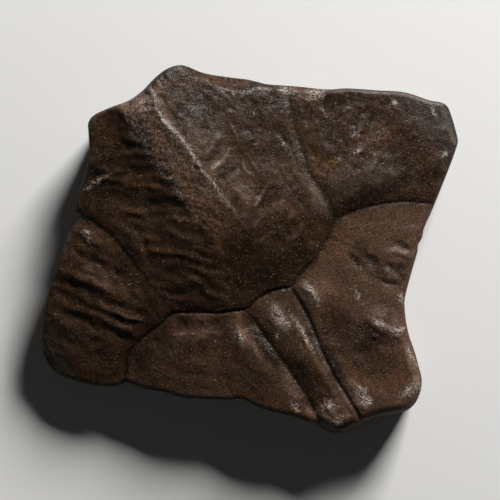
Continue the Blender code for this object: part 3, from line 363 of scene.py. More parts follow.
# %% Folds of the pleural scutes
# Each fold: its height, its half-width and the points that it runs through.
STRONG = 0.15
MEDIUM = 0.10
FAINT = 0.06
RIGHT_PLEURAL_FOLDS = [
    (-0.2, 0.8, (-22.6, 13.9), (-21.3, 12.2), (-20.2, 10.6), (-18.9, 8.7), (-17.9, 7.3), (-17.0, 6.2)),
    (-FAINT, 0.45, (-22.2, 14.2), (-21.2, 12.4)), (-MEDIUM, 0.45, (-20.5, 14.4), (-19.9, 13.0)),
    (-FAINT, 0.5, (-20.4, 11.4), (-19.6, 9.8)), (-FAINT, 0.5, (-18.4, 7.6), (-17.2, 6.4)),
    (0.22, 0.75, (-25.4, 12.3), (-24.2, 11.1), (-23.2, 9.8), (-22.0, 8.2), (-21.0, 7.0), (-19.7, 6.0)),
    (MEDIUM, 0.4, (-22.9, 11.4), (-21.7, 10.0), (-20.5, 8.6)), (-FAINT, 0.35, (-22.5, 10.3), (-21.2, 9.0)),
    (-MEDIUM, 0.5, (-26.4, 11.5), (-25.2, 10.2), (-24.1, 8.9), (-23.0, 7.2), (-21.9, 5.9), (-21.1, 4.5),
        (-20.1, 3.2), (-18.9, 1.7), (-17.7, 0.4)),
    (-MEDIUM, 0.45, (-24.9, 9.9), (-24.0, 8.8)), (-FAINT, 0.45, (-23.1, 7.3), (-21.9, 6.0)),
    (-MEDIUM, 0.4, (-22.4, 5.4), (-21.2, 4.4), (-20.2, 3.2)),
    (FAINT, 0.32, (-26.3, 9.9), (-25.3, 8.7), (-24.4, 7.2)),
    (0.13, 0.32, (-22.9, 4.9), (-22.0, 4.0), (-21.1, 2.7), (-20.0, 1.4), (-18.7, 0.4)),
    (-0.08, 0.45, (-27.0, 10.3), (-26.0, 8.7), (-25.0, 6.8), (-24.1, 5.4), (-23.0, 4.3), (-21.9, 2.9),
        (-20.9, 1.4), (-19.6, 0.3)),
    (-FAINT, 0.4, (-26.8, 10.0), (-26.0, 8.9)), (-MEDIUM, 0.4, (-21.6, 2.2), (-20.9, 1.2), (-20.0, 0.5)),
    (MEDIUM, 0.55, (-28.2, 9.2), (-27.2, 8.0), (-26.0, 6.6), (-24.9, 5.4), (-23.6, 3.6), (-22.2, 1.8),
        (-20.9, 0.0), (-19.9, -0.9)),
    (-0.08, 0.5, (-28.6, 8.4), (-27.8, 6.9), (-26.6, 5.3), (-25.3, 4.0), (-24.2, 2.6), (-23.2, 1.2),
        (-22.3, -0.1), (-21.0, -1.4)),
    (-FAINT, 0.42, (-27.8, 6.9), (-26.7, 5.5)), (-STRONG, 0.6, (-23.0, 0.6), (-22.1, -0.5), (-21.0, -1.5)),
    (0.13, 0.75, (-29.5, 7.2), (-28.7, 5.7), (-27.5, 4.2), (-26.4, 3.0), (-25.2, 1.6), (-24.2, 0.2),
        (-23.6, -1.4)),
    (-MEDIUM, 0.6, (-30.4, 5.0), (-29.5, 3.4), (-28.6, 2.0), (-27.8, 0.6)),
    (-FAINT, 0.6, (-31.0, 3.6), (-30.4, 2.2)), (FAINT, 0.6, (-27.3, 1.0), (-27.2, -0.8)),
    (-FAINT, 0.6, (-26.4, -0.6), (-25.8, -1.6)),
    (STRONG, 0.75, (-20.3, 15.6), (-19.4, 14.6), (-18.6, 13.2), (-17.8, 11.6), (-17.2, 10.0)),
    (FAINT, 0.45, (-17.8, 4.4), (-17.2, 3.4)), (-FAINT, 0.45, (-17.4, 2.8), (-16.8, 2.2)),
]
LEFT_PLEURAL_FOLDS = [
    (0.34, 2.6, (12.4, 2.6), (15.0, 2.4), (18.5, 1.4), (23.0, -1.2)),
    (STRONG, 0.4, (20.9, 4.6), (20.6, 3.6), (19.8, 2.8), (18.9, 2.2)),
    (STRONG, 0.38, (18.7, 5.9), (19.6, 5.7)), (FAINT, 0.6, (20.6, 5.6), (22.2, 5.7)),
    (STRONG, 0.38, (20.1, 8.1), (21.2, 8.4)), (FAINT, 0.35, (19.6, 7.2), (20.0, 7.3)),
    (FAINT, 0.3, (17.0, 2.9), (17.9, 2.9)), (-STRONG, 0.5, (18.1, 3.7), (19.0, 4.4), (19.8, 5.0)),
    (-MEDIUM, 0.45, (19.8, 6.5), (20.7, 7.2), (21.4, 7.9)),
    (-MEDIUM, 0.5, (23.9, 11.0), (22.6, 10.2), (21.0, 9.5), (19.6, 9.3)),
    (-MEDIUM, 0.55, (17.4, 13.4), (18.5, 14.1), (19.3, 14.8)), (MEDIUM, 0.5, (16.8, 14.6), (17.1, 13.6)),
    (-FAINT, 0.5, (14.3, 15.8), (14.3, 13.6)), (FAINT, 0.6, (14.2, 12.9), (14.4, 11.8)),
    (FAINT, 0.7, (15.0, 9.6), (16.2, 10.4)), (-FAINT, 0.5, (15.6, 9.6), (16.6, 8.4)),
    (MEDIUM, 0.45, (19.7, 11.2), (20.4, 11.8), (21.3, 11.4)), (FAINT, 0.4, (22.0, 11.3), (22.9, 11.6)),
    (MEDIUM, 0.45, (14.8, 5.8), (15.6, 5.9), (16.3, 6.6)), (FAINT, 0.45, (13.9, 4.0), (14.6, 4.0)),
    (-MEDIUM, 0.9, (15.4, 1.8), (16.6, 1.3), (17.6, 2.2)), (FAINT, 0.8, (22.4, 2.8), (24.2, 1.8)),
    (FAINT, 0.6, (21.0, 1.2), (22.0, 0.4)), (FAINT, 0.35, (26.8, 4.0), (27.4, 3.8)),
    (FAINT, 0.5, (26.6, 8.9), (27.4, 7.2)), (-FAINT, 0.6, (25.6, 9.8), (26.8, 9.2)),
    (-FAINT, 0.6, (25.0, 3.6), (26.0, 3.2)), (MEDIUM, 0.45, (30.6, 2.8), (31.6, 2.2), (31.9, 0.9)),
    (-FAINT, 0.4, (29.6, 0.6), (30.8, 0.4)), (MEDIUM, 0.2, (15.1, 1.3), (15.2, 0.6), (15.6, -0.2)),
]
print("pleural folds:", len(RIGHT_PLEURAL_FOLDS), "right,", len(LEFT_PLEURAL_FOLDS), "left")

# %% Folds of the vertebral scute
RIGHT_VERTEBRAL_FOLDS = [
    (MEDIUM, 0.65, (-15.6, 14.6), (-14.6, 12.6), (-14.3, 9.8), (-14.2, 6.8), (-14.0, 4.4)),
    (-MEDIUM, 0.4, (-13.2, 12.4), (-12.9, 10.6), (-13.2, 8.4)),
    (FAINT, 0.55, (-12.9, 7.7), (-11.4, 7.3), (-10.2, 6.2), (-9.1, 5.0), (-7.9, 3.8)),
    (MEDIUM, 0.45, (-10.2, 10.6), (-9.5, 9.7), (-8.6, 8.3), (-7.5, 6.9), (-6.1, 5.6)),
    (MEDIUM, 0.4, (-13.2, 15.1), (-11.9, 13.7), (-10.9, 12.3)),
    (STRONG, 0.55, (-12.4, 18.9), (-11.5, 18.1), (-10.3, 17.2), (-8.7, 15.9), (-7.2, 14.7), (-6.0, 12.8)),
    (MEDIUM, 0.45, (-12.8, 24.1), (-11.4, 24.2), (-9.9, 23.7), (-8.8, 22.8)),
    (FAINT, 0.45, (-11.8, 21.9), (-9.4, 21.7), (-7.4, 20.7)),
    (FAINT, 0.45, (-8.2, 11.3), (-7.3, 10.4), (-6.2, 9.3)),
    (FAINT, 0.5, (-13.7, 4.8), (-12.6, 3.6), (-11.8, 2.6)),
    (FAINT, 0.45, (-8.9, 4.7), (-7.2, 3.4), (-5.2, 2.5)),
    (FAINT, 0.45, (-10.8, 3.0), (-9.8, 1.8), (-8.8, 0.8)),
    (FAINT, 0.4, (-8.4, 2.1), (-6.9, 0.9), (-5.6, 0.0)),
    (-FAINT, 0.6, (-7.4, 26.4), (-7.0, 24.4), (-6.6, 21.6)),
    (-MEDIUM, 0.55, (-7.4, 15.9), (-6.4, 15.0), (-5.7, 13.8)),
    (-MEDIUM, 0.55, (-7.4, 12.4), (-6.4, 11.4), (-5.6, 10.4)),
    (-MEDIUM, 0.5, (-10.8, 20.5), (-9.6, 19.5), (-8.4, 18.4)),
    (-FAINT, 0.5, (-13.6, 17.4), (-11.9, 15.9), (-9.8, 14.6), (-8.3, 12.9)),
    (-0.04, 0.6, (-12.2, 9.8), (-11.2, 8.9), (-10.2, 8.0), (-9.0, 6.9)),
    (-0.04, 0.5, (-11.2, 6.4), (-10.2, 5.5), (-9.0, 4.2)),
    (-FAINT, 0.5, (-8.4, 7.2), (-7.2, 5.8), (-5.6, 4.6)),
    (-FAINT, 0.45, (-12.0, 4.3), (-11.2, 3.1), (-10.2, 2.2)),
    (-FAINT, 0.45, (-9.6, 3.2), (-8.2, 1.6), (-7.0, 0.8)),
    (-FAINT, 0.5, (-14.4, 2.6), (-13.2, 1.2), (-11.4, 0.2)),
    (-FAINT, 0.5, (-10.2, 24.6), (-8.2, 22.4), (-7.2, 21.6)), (-0.24, 0.85, (-14.6, 21.7), (-13.9, 21.2)),
    (0.12, 0.35, (-16.0, 21.3), (-15.5, 20.6), (-14.6, 20.1), (-13.4, 20.0), (-12.4, 20.2)),
]
LEFT_VERTEBRAL_FOLDS = [
    (0.12, 0.26, (-0.3, 13.2), (1.3, 13.7), (2.4, 14.0), (3.9, 14.8)),
    (-0.05, 0.8, (0.2, 12.1), (1.8, 12.1), (3.4, 12.6)),
    (-FAINT, 0.35, (0.4, 12.8), (1.6, 13.0), (2.8, 13.2)),
    (0.07, 0.2, (4.2, 12.8), (4.3, 10.9), (4.7, 9.4)), (-FAINT, 0.35, (4.7, 14.4), (4.8, 13.3)),
    (FAINT, 0.24, (1.4, 10.4), (1.7, 9.5), (2.1, 8.6)), (-FAINT, 0.7, (1.1, 8.8), (1.1, 7.8)),
    (0.12, 0.24, (2.5, 6.1), (3.4, 6.6), (4.4, 7.1)), (FAINT, 0.25, (4.2, 7.1), (5.2, 7.7), (6.6, 8.4)),
    (FAINT, 0.3, (-0.2, 5.8), (1.0, 6.2)), (-FAINT, 0.4, (1.4, 5.1), (2.6, 5.1)),
    (-FAINT, 0.4, (3.2, 5.8), (4.2, 6.1)), (FAINT, 0.28, (0.6, 3.8), (2.0, 4.1), (3.1, 4.3), (4.3, 4.6)),
    (FAINT, 0.28, (5.2, 4.4), (6.0, 4.7), (7.0, 5.4)), (-FAINT, 0.5, (2.2, 3.2), (3.2, 3.1)),
    (-FAINT, 0.5, (4.6, 3.0), (5.6, 1.4)), (FAINT, 0.35, (0.8, 1.8), (2.2, 1.9), (3.8, 1.8)),
    (FAINT, 0.4, (5.9, 2.4), (7.3, 3.4)), (FAINT, 0.4, (4.0, -0.3), (6.2, 0.2), (7.8, 1.0)),
    (-FAINT, 0.6, (7.2, 16.6), (7.3, 15.4), (7.2, 14.4)), (-FAINT, 0.6, (6.7, 20.4), (6.9, 19.0)),
    (-FAINT, 0.7, (9.5, 19.0), (9.4, 16.0)), (-FAINT, 0.6, (7.0, 12.6), (7.6, 11.8)),
    (-FAINT, 0.5, (11.2, 13.8), (11.4, 12.4)), (-FAINT, 0.45, (8.2, 8.4), (8.3, 7.8)),
    (FAINT, 0.45, (9.5, 9.0), (10.2, 7.6), (10.5, 5.8), (10.8, 4.2), (10.9, 2.0)),
    (-FAINT, 0.45, (8.4, 4.8), (8.8, 3.2), (9.0, 0.8)), (-FAINT, 0.6, (6.0, -0.9), (6.8, -1.5)),
    (FAINT, 0.3, (-0.5, 25.4), (-0.2, 23.1), (0.7, 21.5)),
    (0.03, 0.3, (0.2, 10.8), (1.6, 10.9), (3.4, 11.4), (4.4, 11.8)),
    (FAINT, 0.35, (-0.2, 7.5), (1.2, 7.6), (2.4, 7.9)), (0.04, 0.3, (5.4, 13.0), (5.6, 11.4), (5.4, 10.0)),
    (0.04, 0.3, (5.4, 18.0), (5.5, 16.0), (5.5, 14.2)),
    (-FAINT, 0.35, (10.6, 14.4), (10.9, 12.0), (11.2, 9.8)),
    (FAINT, 0.35, (0.0, 15.8), (2.0, 16.4), (3.8, 17.2)),
    (-FAINT, 0.35, (0.0, 14.8), (1.8, 15.4), (3.4, 16.2)),
]
SECOND_SULCUS = [
    (-FAINT, 0.22, (-13.2, -1.0), (-11.2, -2.0), (-9.2, -3.2), (-7.6, -3.9)),
]
print("vertebral folds:", len(RIGHT_VERTEBRAL_FOLDS), "right,", len(LEFT_VERTEBRAL_FOLDS), "left")

# %% Folds of the marginal and cervical scutes
RIGHT_MARGINAL_FOLDS = [
    (0.55, 3.2, (-7.6, -4.8), (-7.8, -10.0), (-7.0, -16.0), (-5.6, -23.0)),
    (0.09, 1.1, (-7.4, -6.6), (-7.8, -8.2), (-7.5, -10.8), (-7.1, -13.2), (-6.5, -16.0), (-5.7, -19.0),
        (-5.2, -22.2), (-4.7, -24.6)),
    (STRONG, 0.5, (-7.4, -6.6), (-7.8, -7.8), (-8.3, -9.2)), (FAINT, 0.35, (-7.2, -10.2), (-7.4, -11.8)),
    (-0.04, 0.8, (-10.6, -6.2), (-10.2, -7.6), (-10.0, -9.0)),
    (-MEDIUM, 0.7, (-11.2, -9.4), (-12.2, -11.2), (-13.0, -12.8), (-13.3, -14.6)),
    (-FAINT, 0.9, (-16.4, -5.6), (-15.6, -6.6)), (FAINT, 0.8, (-17.2, -6.8), (-16.4, -7.8)),
    (-FAINT, 0.4, (-17.4, -8.8), (-16.2, -9.6), (-14.8, -10.6)), (FAINT, 0.4, (-15.2, -8.6), (-14.0, -9.6)),
    (FAINT, 0.5, (-16.4, -10.8), (-15.0, -11.8)), (FAINT, 0.9, (-19.8, -3.6), (-18.8, -4.4)),
    (-FAINT, 0.7, (-23.8, -5.4), (-23.0, -4.4), (-22.0, -3.6)), (FAINT, 0.22, (-11.6, -3.4), (-11.3, -4.4)),
    (FAINT, 0.25, (-13.7, -4.6), (-13.4, -4.8)), (FAINT, 0.25, (-12.8, -6.1), (-12.4, -5.7)),
    (FAINT, 0.22, (-16.2, -3.7), (-14.4, -4.2)), (-FAINT, 0.6, (-8.8, -15.8), (-7.9, -17.2)),
    (FAINT, 0.4, (-6.4, -21.2), (-5.8, -21.6)),
]
LEFT_MARGINAL_FOLDS = [
    (MEDIUM, 0.4, (3.1, -6.4), (3.4, -7.8), (3.9, -9.4)),
    (MEDIUM, 1.1, (3.3, -6.8), (3.7, -9.0), (3.6, -11.0)),
    (0.12, 0.45, (8.6, -15.0), (9.1, -16.1), (10.0, -17.3), (10.8, -18.3), (11.9, -18.9)),
    (MEDIUM, 1.3, (9.6, -13.8), (10.8, -16.0), (12.6, -17.8)),
    (-0.1, 0.5, (8.0, -15.2), (8.2, -16.4), (9.0, -17.8), (10.0, -18.9)),
    (MEDIUM, 0.25, (7.9, -17.7), (8.7, -18.1)),
    (-MEDIUM, 0.7, (6.8, -15.4), (7.6, -17.4), (8.8, -19.2), (10.2, -19.4), (11.6, -19.8)),
    (-0.22, 2.0, (3.8, -12.0), (4.6, -16.0), (6.2, -20.0), (7.4, -21.6)),
    (MEDIUM, 0.5, (1.9, -21.4), (2.2, -22.6), (3.2, -23.8)),
    (MEDIUM, 0.35, (1.6, -25.1), (2.4, -25.5), (3.2, -25.3)),
    (MEDIUM, 0.6, (11.4, -20.2), (11.1, -21.8), (10.7, -23.6), (10.3, -25.6), (9.4, -26.6), (7.6, -26.9)),
    (FAINT, 0.25, (8.0, -20.3), (8.3, -20.5)), (-MEDIUM, 0.38, (10.7, -5.9), (11.2, -7.3), (12.0, -9.0)),
    (FAINT, 0.4, (11.4, -7.0), (12.0, -8.6), (12.6, -9.8)),
    (-MEDIUM, 0.45, (12.8, -7.0), (13.2, -8.0), (13.8, -9.4)),
    (-MEDIUM, 0.35, (13.0, -11.4), (13.6, -12.2), (14.6, -12.9)),
    (FAINT, 0.45, (14.0, -10.2), (14.6, -11.4), (15.2, -12.4)),
    (-MEDIUM, 0.5, (15.0, -9.6), (15.7, -10.7), (16.6, -11.8)),
    (MEDIUM, 0.4, (15.4, -8.3), (16.8, -8.9), (17.7, -9.8), (18.2, -10.8)),
    (-MEDIUM, 0.32, (17.2, -7.6), (17.8, -8.4), (18.6, -9.6)), (FAINT, 0.3, (15.5, -6.3), (15.9, -6.6)),
    (FAINT, 0.35, (11.0, -3.8), (12.2, -5.0)), (-FAINT, 0.6, (19.2, -6.0), (20.8, -6.6)),
]
CERVICAL_FOLDS = [
    (0.24, 2.6, (-1.8, -6.4), (-1.8, -10.0), (-1.1, -13.0), (-0.7, -16.0), (-0.6, -21.0), (-0.3, -26.0)),
    (0.12, 0.9, (-2.0, -6.8), (-2.0, -8.6), (-2.3, -10.4)),
    (0.07, 0.26, (-0.4, -10.4), (-0.3, -12.0), (-0.5, -13.6), (-0.7, -14.8)),
    (0.05, 0.65, (-0.9, -15.6), (-0.8, -17.4), (-0.6, -19.6), (-0.3, -22.0), (-0.2, -25.6)),
    (-0.12, 0.8, (-3.2, -14.8), (-3.1, -18.8), (-2.8, -21.0)),
    (0.2, 0.9, (-2.9, -23.2), (-2.2, -23.1), (-1.6, -23.1)),
]
print("marginal folds:", len(RIGHT_MARGINAL_FOLDS), "right,", len(LEFT_MARGINAL_FOLDS), "left")

# %% Reading the folds
FOLDS = (
    RIGHT_PLEURAL_FOLDS + RIGHT_VERTEBRAL_FOLDS + LEFT_VERTEBRAL_FOLDS + LEFT_PLEURAL_FOLDS
    + RIGHT_MARGINAL_FOLDS + LEFT_MARGINAL_FOLDS + CERVICAL_FOLDS + SECOND_SULCUS
)
FOLD_STEP = 0.5  # between the points that a fold's curve is read at
FADE_SHARE = 0.22  # of a fold's length, over which each end fades out
END_HEIGHT = 0.35  # the share of its height that is left at its ends
WAVER = 0.30  # how far a fold's line strays from the curve through its points
WAVER_SIZE = 1.8
UNEVENNESS = 0.8  # how much its height varies along the way
NARROW = 0.6  # a fold wider than this is more even
FOLD_REACH = 3  # half-widths; further away a fold adds nothing that shows
WAVE_CENTRE = (-21.0, -8.0)  # the faint growth ridges curve round this point
WAVE_SPACING = 2.0
WAVE_HEIGHT = 0.045
WAVE_BEND = 1.8  # how far they stray from even rings
WAVES_ACROSS = (-15.4, -4.4)  # they lie between these x
WAVES_ALONG = (-4.0, 27.0)  # and these y


def folds(x, y, strokes):
    """The height that ridges and furrows add. Their lines waver a little, as grown ones do."""
    x = x + WAVER * ripple(x, y, WAVER_SIZE, 83.0)
    y = y + WAVER * ripple(x, y, WAVER_SIZE, 89.0)
    uneven = UNEVENNESS * ripple(x, y, 1.5, 97.0)
    lift = np.zeros(x.shape)
    for height, half_width, *through in strokes:
        line = smooth_line(through, FOLD_STEP)
        low = line.min(axis=0) - FOLD_REACH * half_width
        high = line.max(axis=0) + FOLD_REACH * half_width
        near = (x > low[0]) & (x < high[0]) & (y > low[1]) & (y < high[1])
        if not near.any():
            continue
        away, share, _ = measure(x[near], y[near], line)
        length = FOLD_STEP * (len(line) - 1)
        from_end = length * np.minimum(share, 1 - share)
        fade = eased(from_end / max(FADE_SHARE * length, half_width))
        fade = END_HEIGHT + (1 - END_HEIGHT) * fade
        uneven_here = 1 + uneven[near] * min(1, (NARROW / half_width) ** 2)
        lift[near] += height * fade * uneven_here * np.exp(-((away / half_width) ** 2))
    return lift


def growth_waves(x, y):
    """Wavy growth ridges that run slantwise over the -X half of the vertebral scute."""
    across = np.hypot(x - WAVE_CENTRE[0], y - WAVE_CENTRE[1]) + WAVE_BEND * ripple(x, y, 4.0, 3.0)
    patch = band(x, WAVES_ACROSS, rise=2.0, fall=2.0) * band(y, WAVES_ALONG, rise=3.0, fall=6.0)
    return WAVE_HEIGHT * patch * np.cos(2 * np.pi * across / WAVE_SPACING)


print("folds:", len(FOLDS))

# %% [markdown]
# ## Breaks and chips
# Along one rear edge the bone's smooth outer skin has broken away, and a rough slope runs down to
# the outline. A few smaller chips face outwards at the tips.

# %% Breaks
BROKEN_EDGE = [
    (3.4, 29.6), (3.8, 27.4), (4.2, 26.2), (5.5, 25.2), (6.3, 23.8), (7.5, 22.5), (8.6, 21.4),
    (10.2, 20.8), (12.0, 20.2), (14.0, 18.8), (17.5, 16.4), (19.5, 15.4),
]
BROKEN_SLOPE = 0.38  # how steeply the broken strip falls to the outline
STRIP_REACH = 4.0  # the strip is nowhere wider than this
CHIPS = [  # where each chip starts, which way it faces and how steeply it falls
    ((32.0, 2.6), (0.97, -0.22), 1.6),
    ((-32.3, 2.0), (-1.0, 0.0), 1.2),
    ((-3.6, 26.3), (-0.10, 1.0), 0.4),
    ((-11.2, 27.3), (-0.6, 0.8), 0.8),
]
CHIP_REACH = 3.4  # how far to either side a chip goes


def broken_strip(x, y):
    """Each point's distance to the broken edge, and if it lies outside or inside of that edge."""
    away, share, side = measure(x, y, smooth_line(BROKEN_EDGE, FOLD_STEP))
    beside = (share > 0) & (share < 1)
    return away, beside & (side > 0), beside & (side < 0)


def breaks(x, y, rim_away):
    """How far the broken edge and the chips cut down."""
    away, outside, _ = broken_strip(x, y)
    cut = np.where(outside & (rim_away < STRIP_REACH), BROKEN_SLOPE * away, 0)
    for (chip_x, chip_y), facing, fall in CHIPS:
        facing = np.array(facing) / np.linalg.norm(facing)
        beyond = (x - chip_x) * facing[0] + (y - chip_y) * facing[1]
        beside = np.abs((x - chip_x) * facing[1] - (y - chip_y) * facing[0])
        cut += fall * np.clip(beyond, 0, None) * eased(1.5 - 1.5 * beside / CHIP_REACH)
    return cut


broken_length = FOLD_STEP * (len(smooth_line(BROKEN_EDGE, FOLD_STEP)) - 1)
print("broken edge, mm:", broken_length, "and chips:", len(CHIPS))

# %% [markdown]
# ## Height of the outer side
# Everything adds up to one height for each point. The free front margin is a thick rounded lip, and
# the other edges, where the plate met its neighbours, are only worn.

# %% Outer side
EDGE_ROUND = 0.55  # radius of the worn edge along the sutures
LIP_ROUND = 1.7  # radius of the edge along the free front margin
MARGIN_REAR = -14.0  # the free margin lies in front of this y at its middle
MARGIN_SLANT = 0.35  # and reaches further back towards +X
MARGIN_MIDDLE = 4.0
MARGIN_SIDES = (-7.5, 15.0)
LUMPS = [(0.22, 7.0, 11.0), (0.12, 2.8, 5.0)]  # the slow unevenness of worn bone
SKIN_GRAIN = [(0.028, 1.3, 41.0), (0.032, 0.65, 43.0)]
BARE_GRAIN = [(0.05, 0.9, 47.0), (0.06, 0.5, 53.0)]
SHELF = (-4.9, 0.5)  # the keel's rough shelf lies between these distances from its crest
SHELF_FRONT = 3.0


def front_margin(x, y):
    """1 along the free front margin, where the edge is a thick rounded lip, and 0 elsewhere."""
    in_front = eased((MARGIN_REAR - y + MARGIN_SLANT * (x - MARGIN_MIDDLE)) / 6)
    return in_front * band(x, MARGIN_SIDES, rise=4.0, fall=6.0)


def rounding(away, radius):
    """How far a rounded edge drops at this distance from the rim."""
    inward = np.clip(1 - away / radius, 0, 1)
    return radius * (1 - np.sqrt(1 - inward**2))


def rough_places(x, y):
    """1 where the bone's skin is gone and its grain shows: the keel's shelf, the rear end, the break."""
    offset = x - line_x(y, KEEL_CREST)
    shelf = band(offset, SHELF, rise=0.7, fall=0.5) * eased((y - SHELF_FRONT) / 5.0)
    rear = eased((y - 26.0 - 0.4 * ripple(x, y, 2.0, 7.0)) / 1.2) * eased((5.0 - np.abs(x + 2.5)) / 2.0)
    away, outside, _ = broken_strip(x, y)
    return np.maximum.reduce([shelf, rear, outside & (away < STRIP_REACH)])


def grain(x, y):
    """Fine unevenness: faint all over, and coarse where the skin is gone."""
    return ripples(x, y, SKIN_GRAIN) + rough_places(x, y) * ripples(x, y, BARE_GRAIN)


def outer_height(x, y, rim_away):
    radius = EDGE_ROUND + (LIP_ROUND - EDGE_ROUND) * front_margin(x, y)
    height = dome(x, y) + roof(x, y) + cushions(x, y) + keel(x, y) + growth_waves(x, y)
    height += folds(x, y, FOLDS) + ripples(x, y, LUMPS) + grain(x, y)
    return height - breaks(x, y, rim_away) - rounding(rim_away, radius)


middle = np.zeros(1)
middle_top = outer_height(middle, middle, middle + HALF_LENGTH)
print("outer side at the middle, mm:", middle_top.round(2)[0])

# %% [markdown]
# ## Height of the inner side
# The inner side is hollow and smooth. Under the front margin the scutes wrapped round the edge and
# left a low step, and near the rear is a low knob where the backbone was tied to the shell.

# %% Inner side
THICKNESS = 4.8  # under the plain dome; scutes, keel and folds come on top of it
LIP_THICKENING = 2.8  # how much thicker the front margin is
LIP_START = -8.0  # where it starts to thicken
LIP_RUN = 18.0
REAR_THICKENING = 1.7  # how much thicker the rear end is
REAR_START = 12.0
REAR_RUN = 15.0
UNDERCUT = 0.9  # how far a sutural side leans in below the outer edge
FOOT_LEVEL = 0.0  # the ground: the lowest places are worn flat on it
SKIN_LINE = 6.5  # how far the scutes wrapped round under the front margin
SKIN_STEP = 0.5  # the step down at their inner border
WRAPPED_GROOVE = (0.35, 0.45)  # depth and half-width of the grooves there
PEDESTAL = ((-1.5, 19.0), 4.0, 1.3)  # a low knob near the rear: centre, radius, height
RIB_SWELLINGS = [
    (0.8, 2.6, (-6.0, 14.0), (-14.0, 11.5), (-22.0, 9.0)),
    (0.8, 2.6, (4.0, 14.0), (12.0, 12.0), (21.0, 9.5)),
]
INNER_LUMPS = [(0.25, 8.0, 29.0)]
INNER_GRAIN = [(0.03, 1.3, 61.0)]


def inner_height(x, y, rim_away):
    margin = front_margin(x, y)
    wrapped = margin * eased((SKIN_LINE - rim_away) / 1.2)
    height = dome(x, y) - THICKNESS - LIP_THICKENING * eased((LIP_START - y) / LIP_RUN)
    height -= REAR_THICKENING * eased((y - REAR_START) / REAR_RUN) + SKIN_STEP * wrapped
    height -= folds(x, y, RIB_SWELLINGS) + ripples(x, y, INNER_LUMPS)
    (knob_x, knob_y), radius, knob_height = PEDESTAL
    height -= knob_height * np.exp(-(((x - knob_x) ** 2 + (y - knob_y) ** 2) / radius**2))
    depth, half_width = WRAPPED_GROOVE
    for line in (RIGHT_CERVICAL, LEFT_CERVICAL):
        away, _, _ = measure(x, y, smooth_line(line, SULCUS_STEP))
        height += depth * wrapped * np.exp(-((away / half_width) ** 2))
    height += ripples(x, y, INNER_GRAIN)
    radius = EDGE_ROUND + (LIP_ROUND - EDGE_ROUND) * margin
    return np.maximum(height + rounding(rim_away, radius), FOOT_LEVEL)


middle_low = inner_height(middle, middle, middle + HALF_LENGTH)
print("thickness at the middle, mm:", (middle_top - middle_low).round(2)[0])

# %% [markdown]
# ## The mesh
# A flat triangle mesh is laid inside the outline, with rings of points along the edge and rows along
# the grooves so that they come out crisp. One such sheet takes the outer heights and another the
# inner ones. Rings of faces down the sides join them, with the toothed roughness of a suture, the
# seam where two plates grew together.

# %% Flat sheets
OUTER_SPACING = 0.205  # mm between the points of the outer side
INNER_SPACING = 0.44
RING_INSETS = (0.10, 0.24, 0.44, 0.74, 1.10)  # rings of points this far inside the rim
LEAST_INSET = 0.93  # points that come nearer to it than this share are left out
RAIL_SPACING = 0.22  # between the points of the rows along the grooves
RAIL_OFFSETS = (-0.34, -0.17, 0.17, 0.34)  # and how far beside a groove they lie
FOOT_EASING = 12  # rounds of easing, so that the inner side's edge is a calm line
LIP_UPRIGHT = 0.6  # how much less the side leans in under the front margin
WELD = 1e-4  # points nearer to each other than this are one


def moved_in(loop, distance):
    """The line moved to its left, which on the outline is inwards, by one distance or one per point."""
    ahead = np.roll(loop, -1, axis=0) - np.roll(loop, 1, axis=0)
    ahead /= np.linalg.norm(ahead, axis=1, keepdims=True)
    inwards = np.column_stack([-ahead[:, 1], ahead[:, 0]])
    return loop + inwards * np.reshape(distance, (-1, 1))


def relaxed(loop, rounds):
    """The closed loop with its sharp turns eased out."""
    for _ in range(rounds):
        loop = (np.roll(loop, 1, axis=0) + 2 * loop + np.roll(loop, -1, axis=0)) / 4
    return loop


def sheet(loop, spacing, rails):
    """A flat triangle mesh inside the loop, with its points, its faces and the loop's own points."""
    rings = [loop]
    for inset in RING_INSETS:
        ring = moved_in(loop, inset)
        rings.append(ring[away_from(ring[:, 0], ring[:, 1], loop) > LEAST_INSET * inset])
    rows = []
    for line in rails:
        rows += [line] + [moved_in(line, offset)[1:-1] for offset in RAIL_OFFSETS]
    low, high = loop.min(axis=0), loop.max(axis=0)
    for i, level in enumerate(np.arange(low[1], high[1], spacing * np.sqrt(3) / 2)):
        across = np.arange(low[0] + (i % 2) * spacing / 2, high[0], spacing)
        rows.append(np.column_stack([across, np.full(across.shape, level)]))
    grid = np.vstack(rows)
    grid = grid[away_from(grid[:, 0], grid[:, 1], loop) > RING_INSETS[-1] + 0.4 * spacing]
    points = [Vector(p) for p in np.vstack(rings + [grid])]
    border = [list(range(len(loop)))]
    kept, _, faces, origins = geometry.delaunay_2d_cdt(points, [], border, 1, WELD)[:4]
    used = sorted({i for face in faces for i in face})
    number = {old: new for new, old in enumerate(used)}
    corner = {origin: number[i] for i in used for origin in origins[i]}
    faces = [[number[i] for i in face] for face in faces]
    return np.array([kept[i] for i in used]), faces, [corner[i] for i in range(len(loop))]


rails = [smooth_line(sulcus[0], RAIL_SPACING) for sulcus in SULCI.values()]
outer_xy, outer_faces, outer_rim = sheet(rim, OUTER_SPACING, rails)
margin = front_margin(rim[:, 0], rim[:, 1])
foot = moved_in(relaxed(rim, FOOT_EASING), UNDERCUT * (1 - LIP_UPRIGHT * margin))
foot = relaxed(foot, FOOT_EASING)
inner_xy, inner_faces, inner_rim = sheet(foot, INNER_SPACING, [])
print("faces:", len(outer_faces), "outside,", len(inner_faces), "inside")

# %% Heights of the sheets
outer_away = away_from(outer_xy[:, 0], outer_xy[:, 1], rim)
inner_away = away_from(inner_xy[:, 0], inner_xy[:, 1], foot)
outer_z = outer_height(outer_xy[:, 0], outer_xy[:, 1], outer_away)
inner_z = inner_height(inner_xy[:, 0], inner_xy[:, 1], inner_away)
print("outer side, mm:", round(outer_z.min(), 2), "to", round(outer_z.max(), 2))

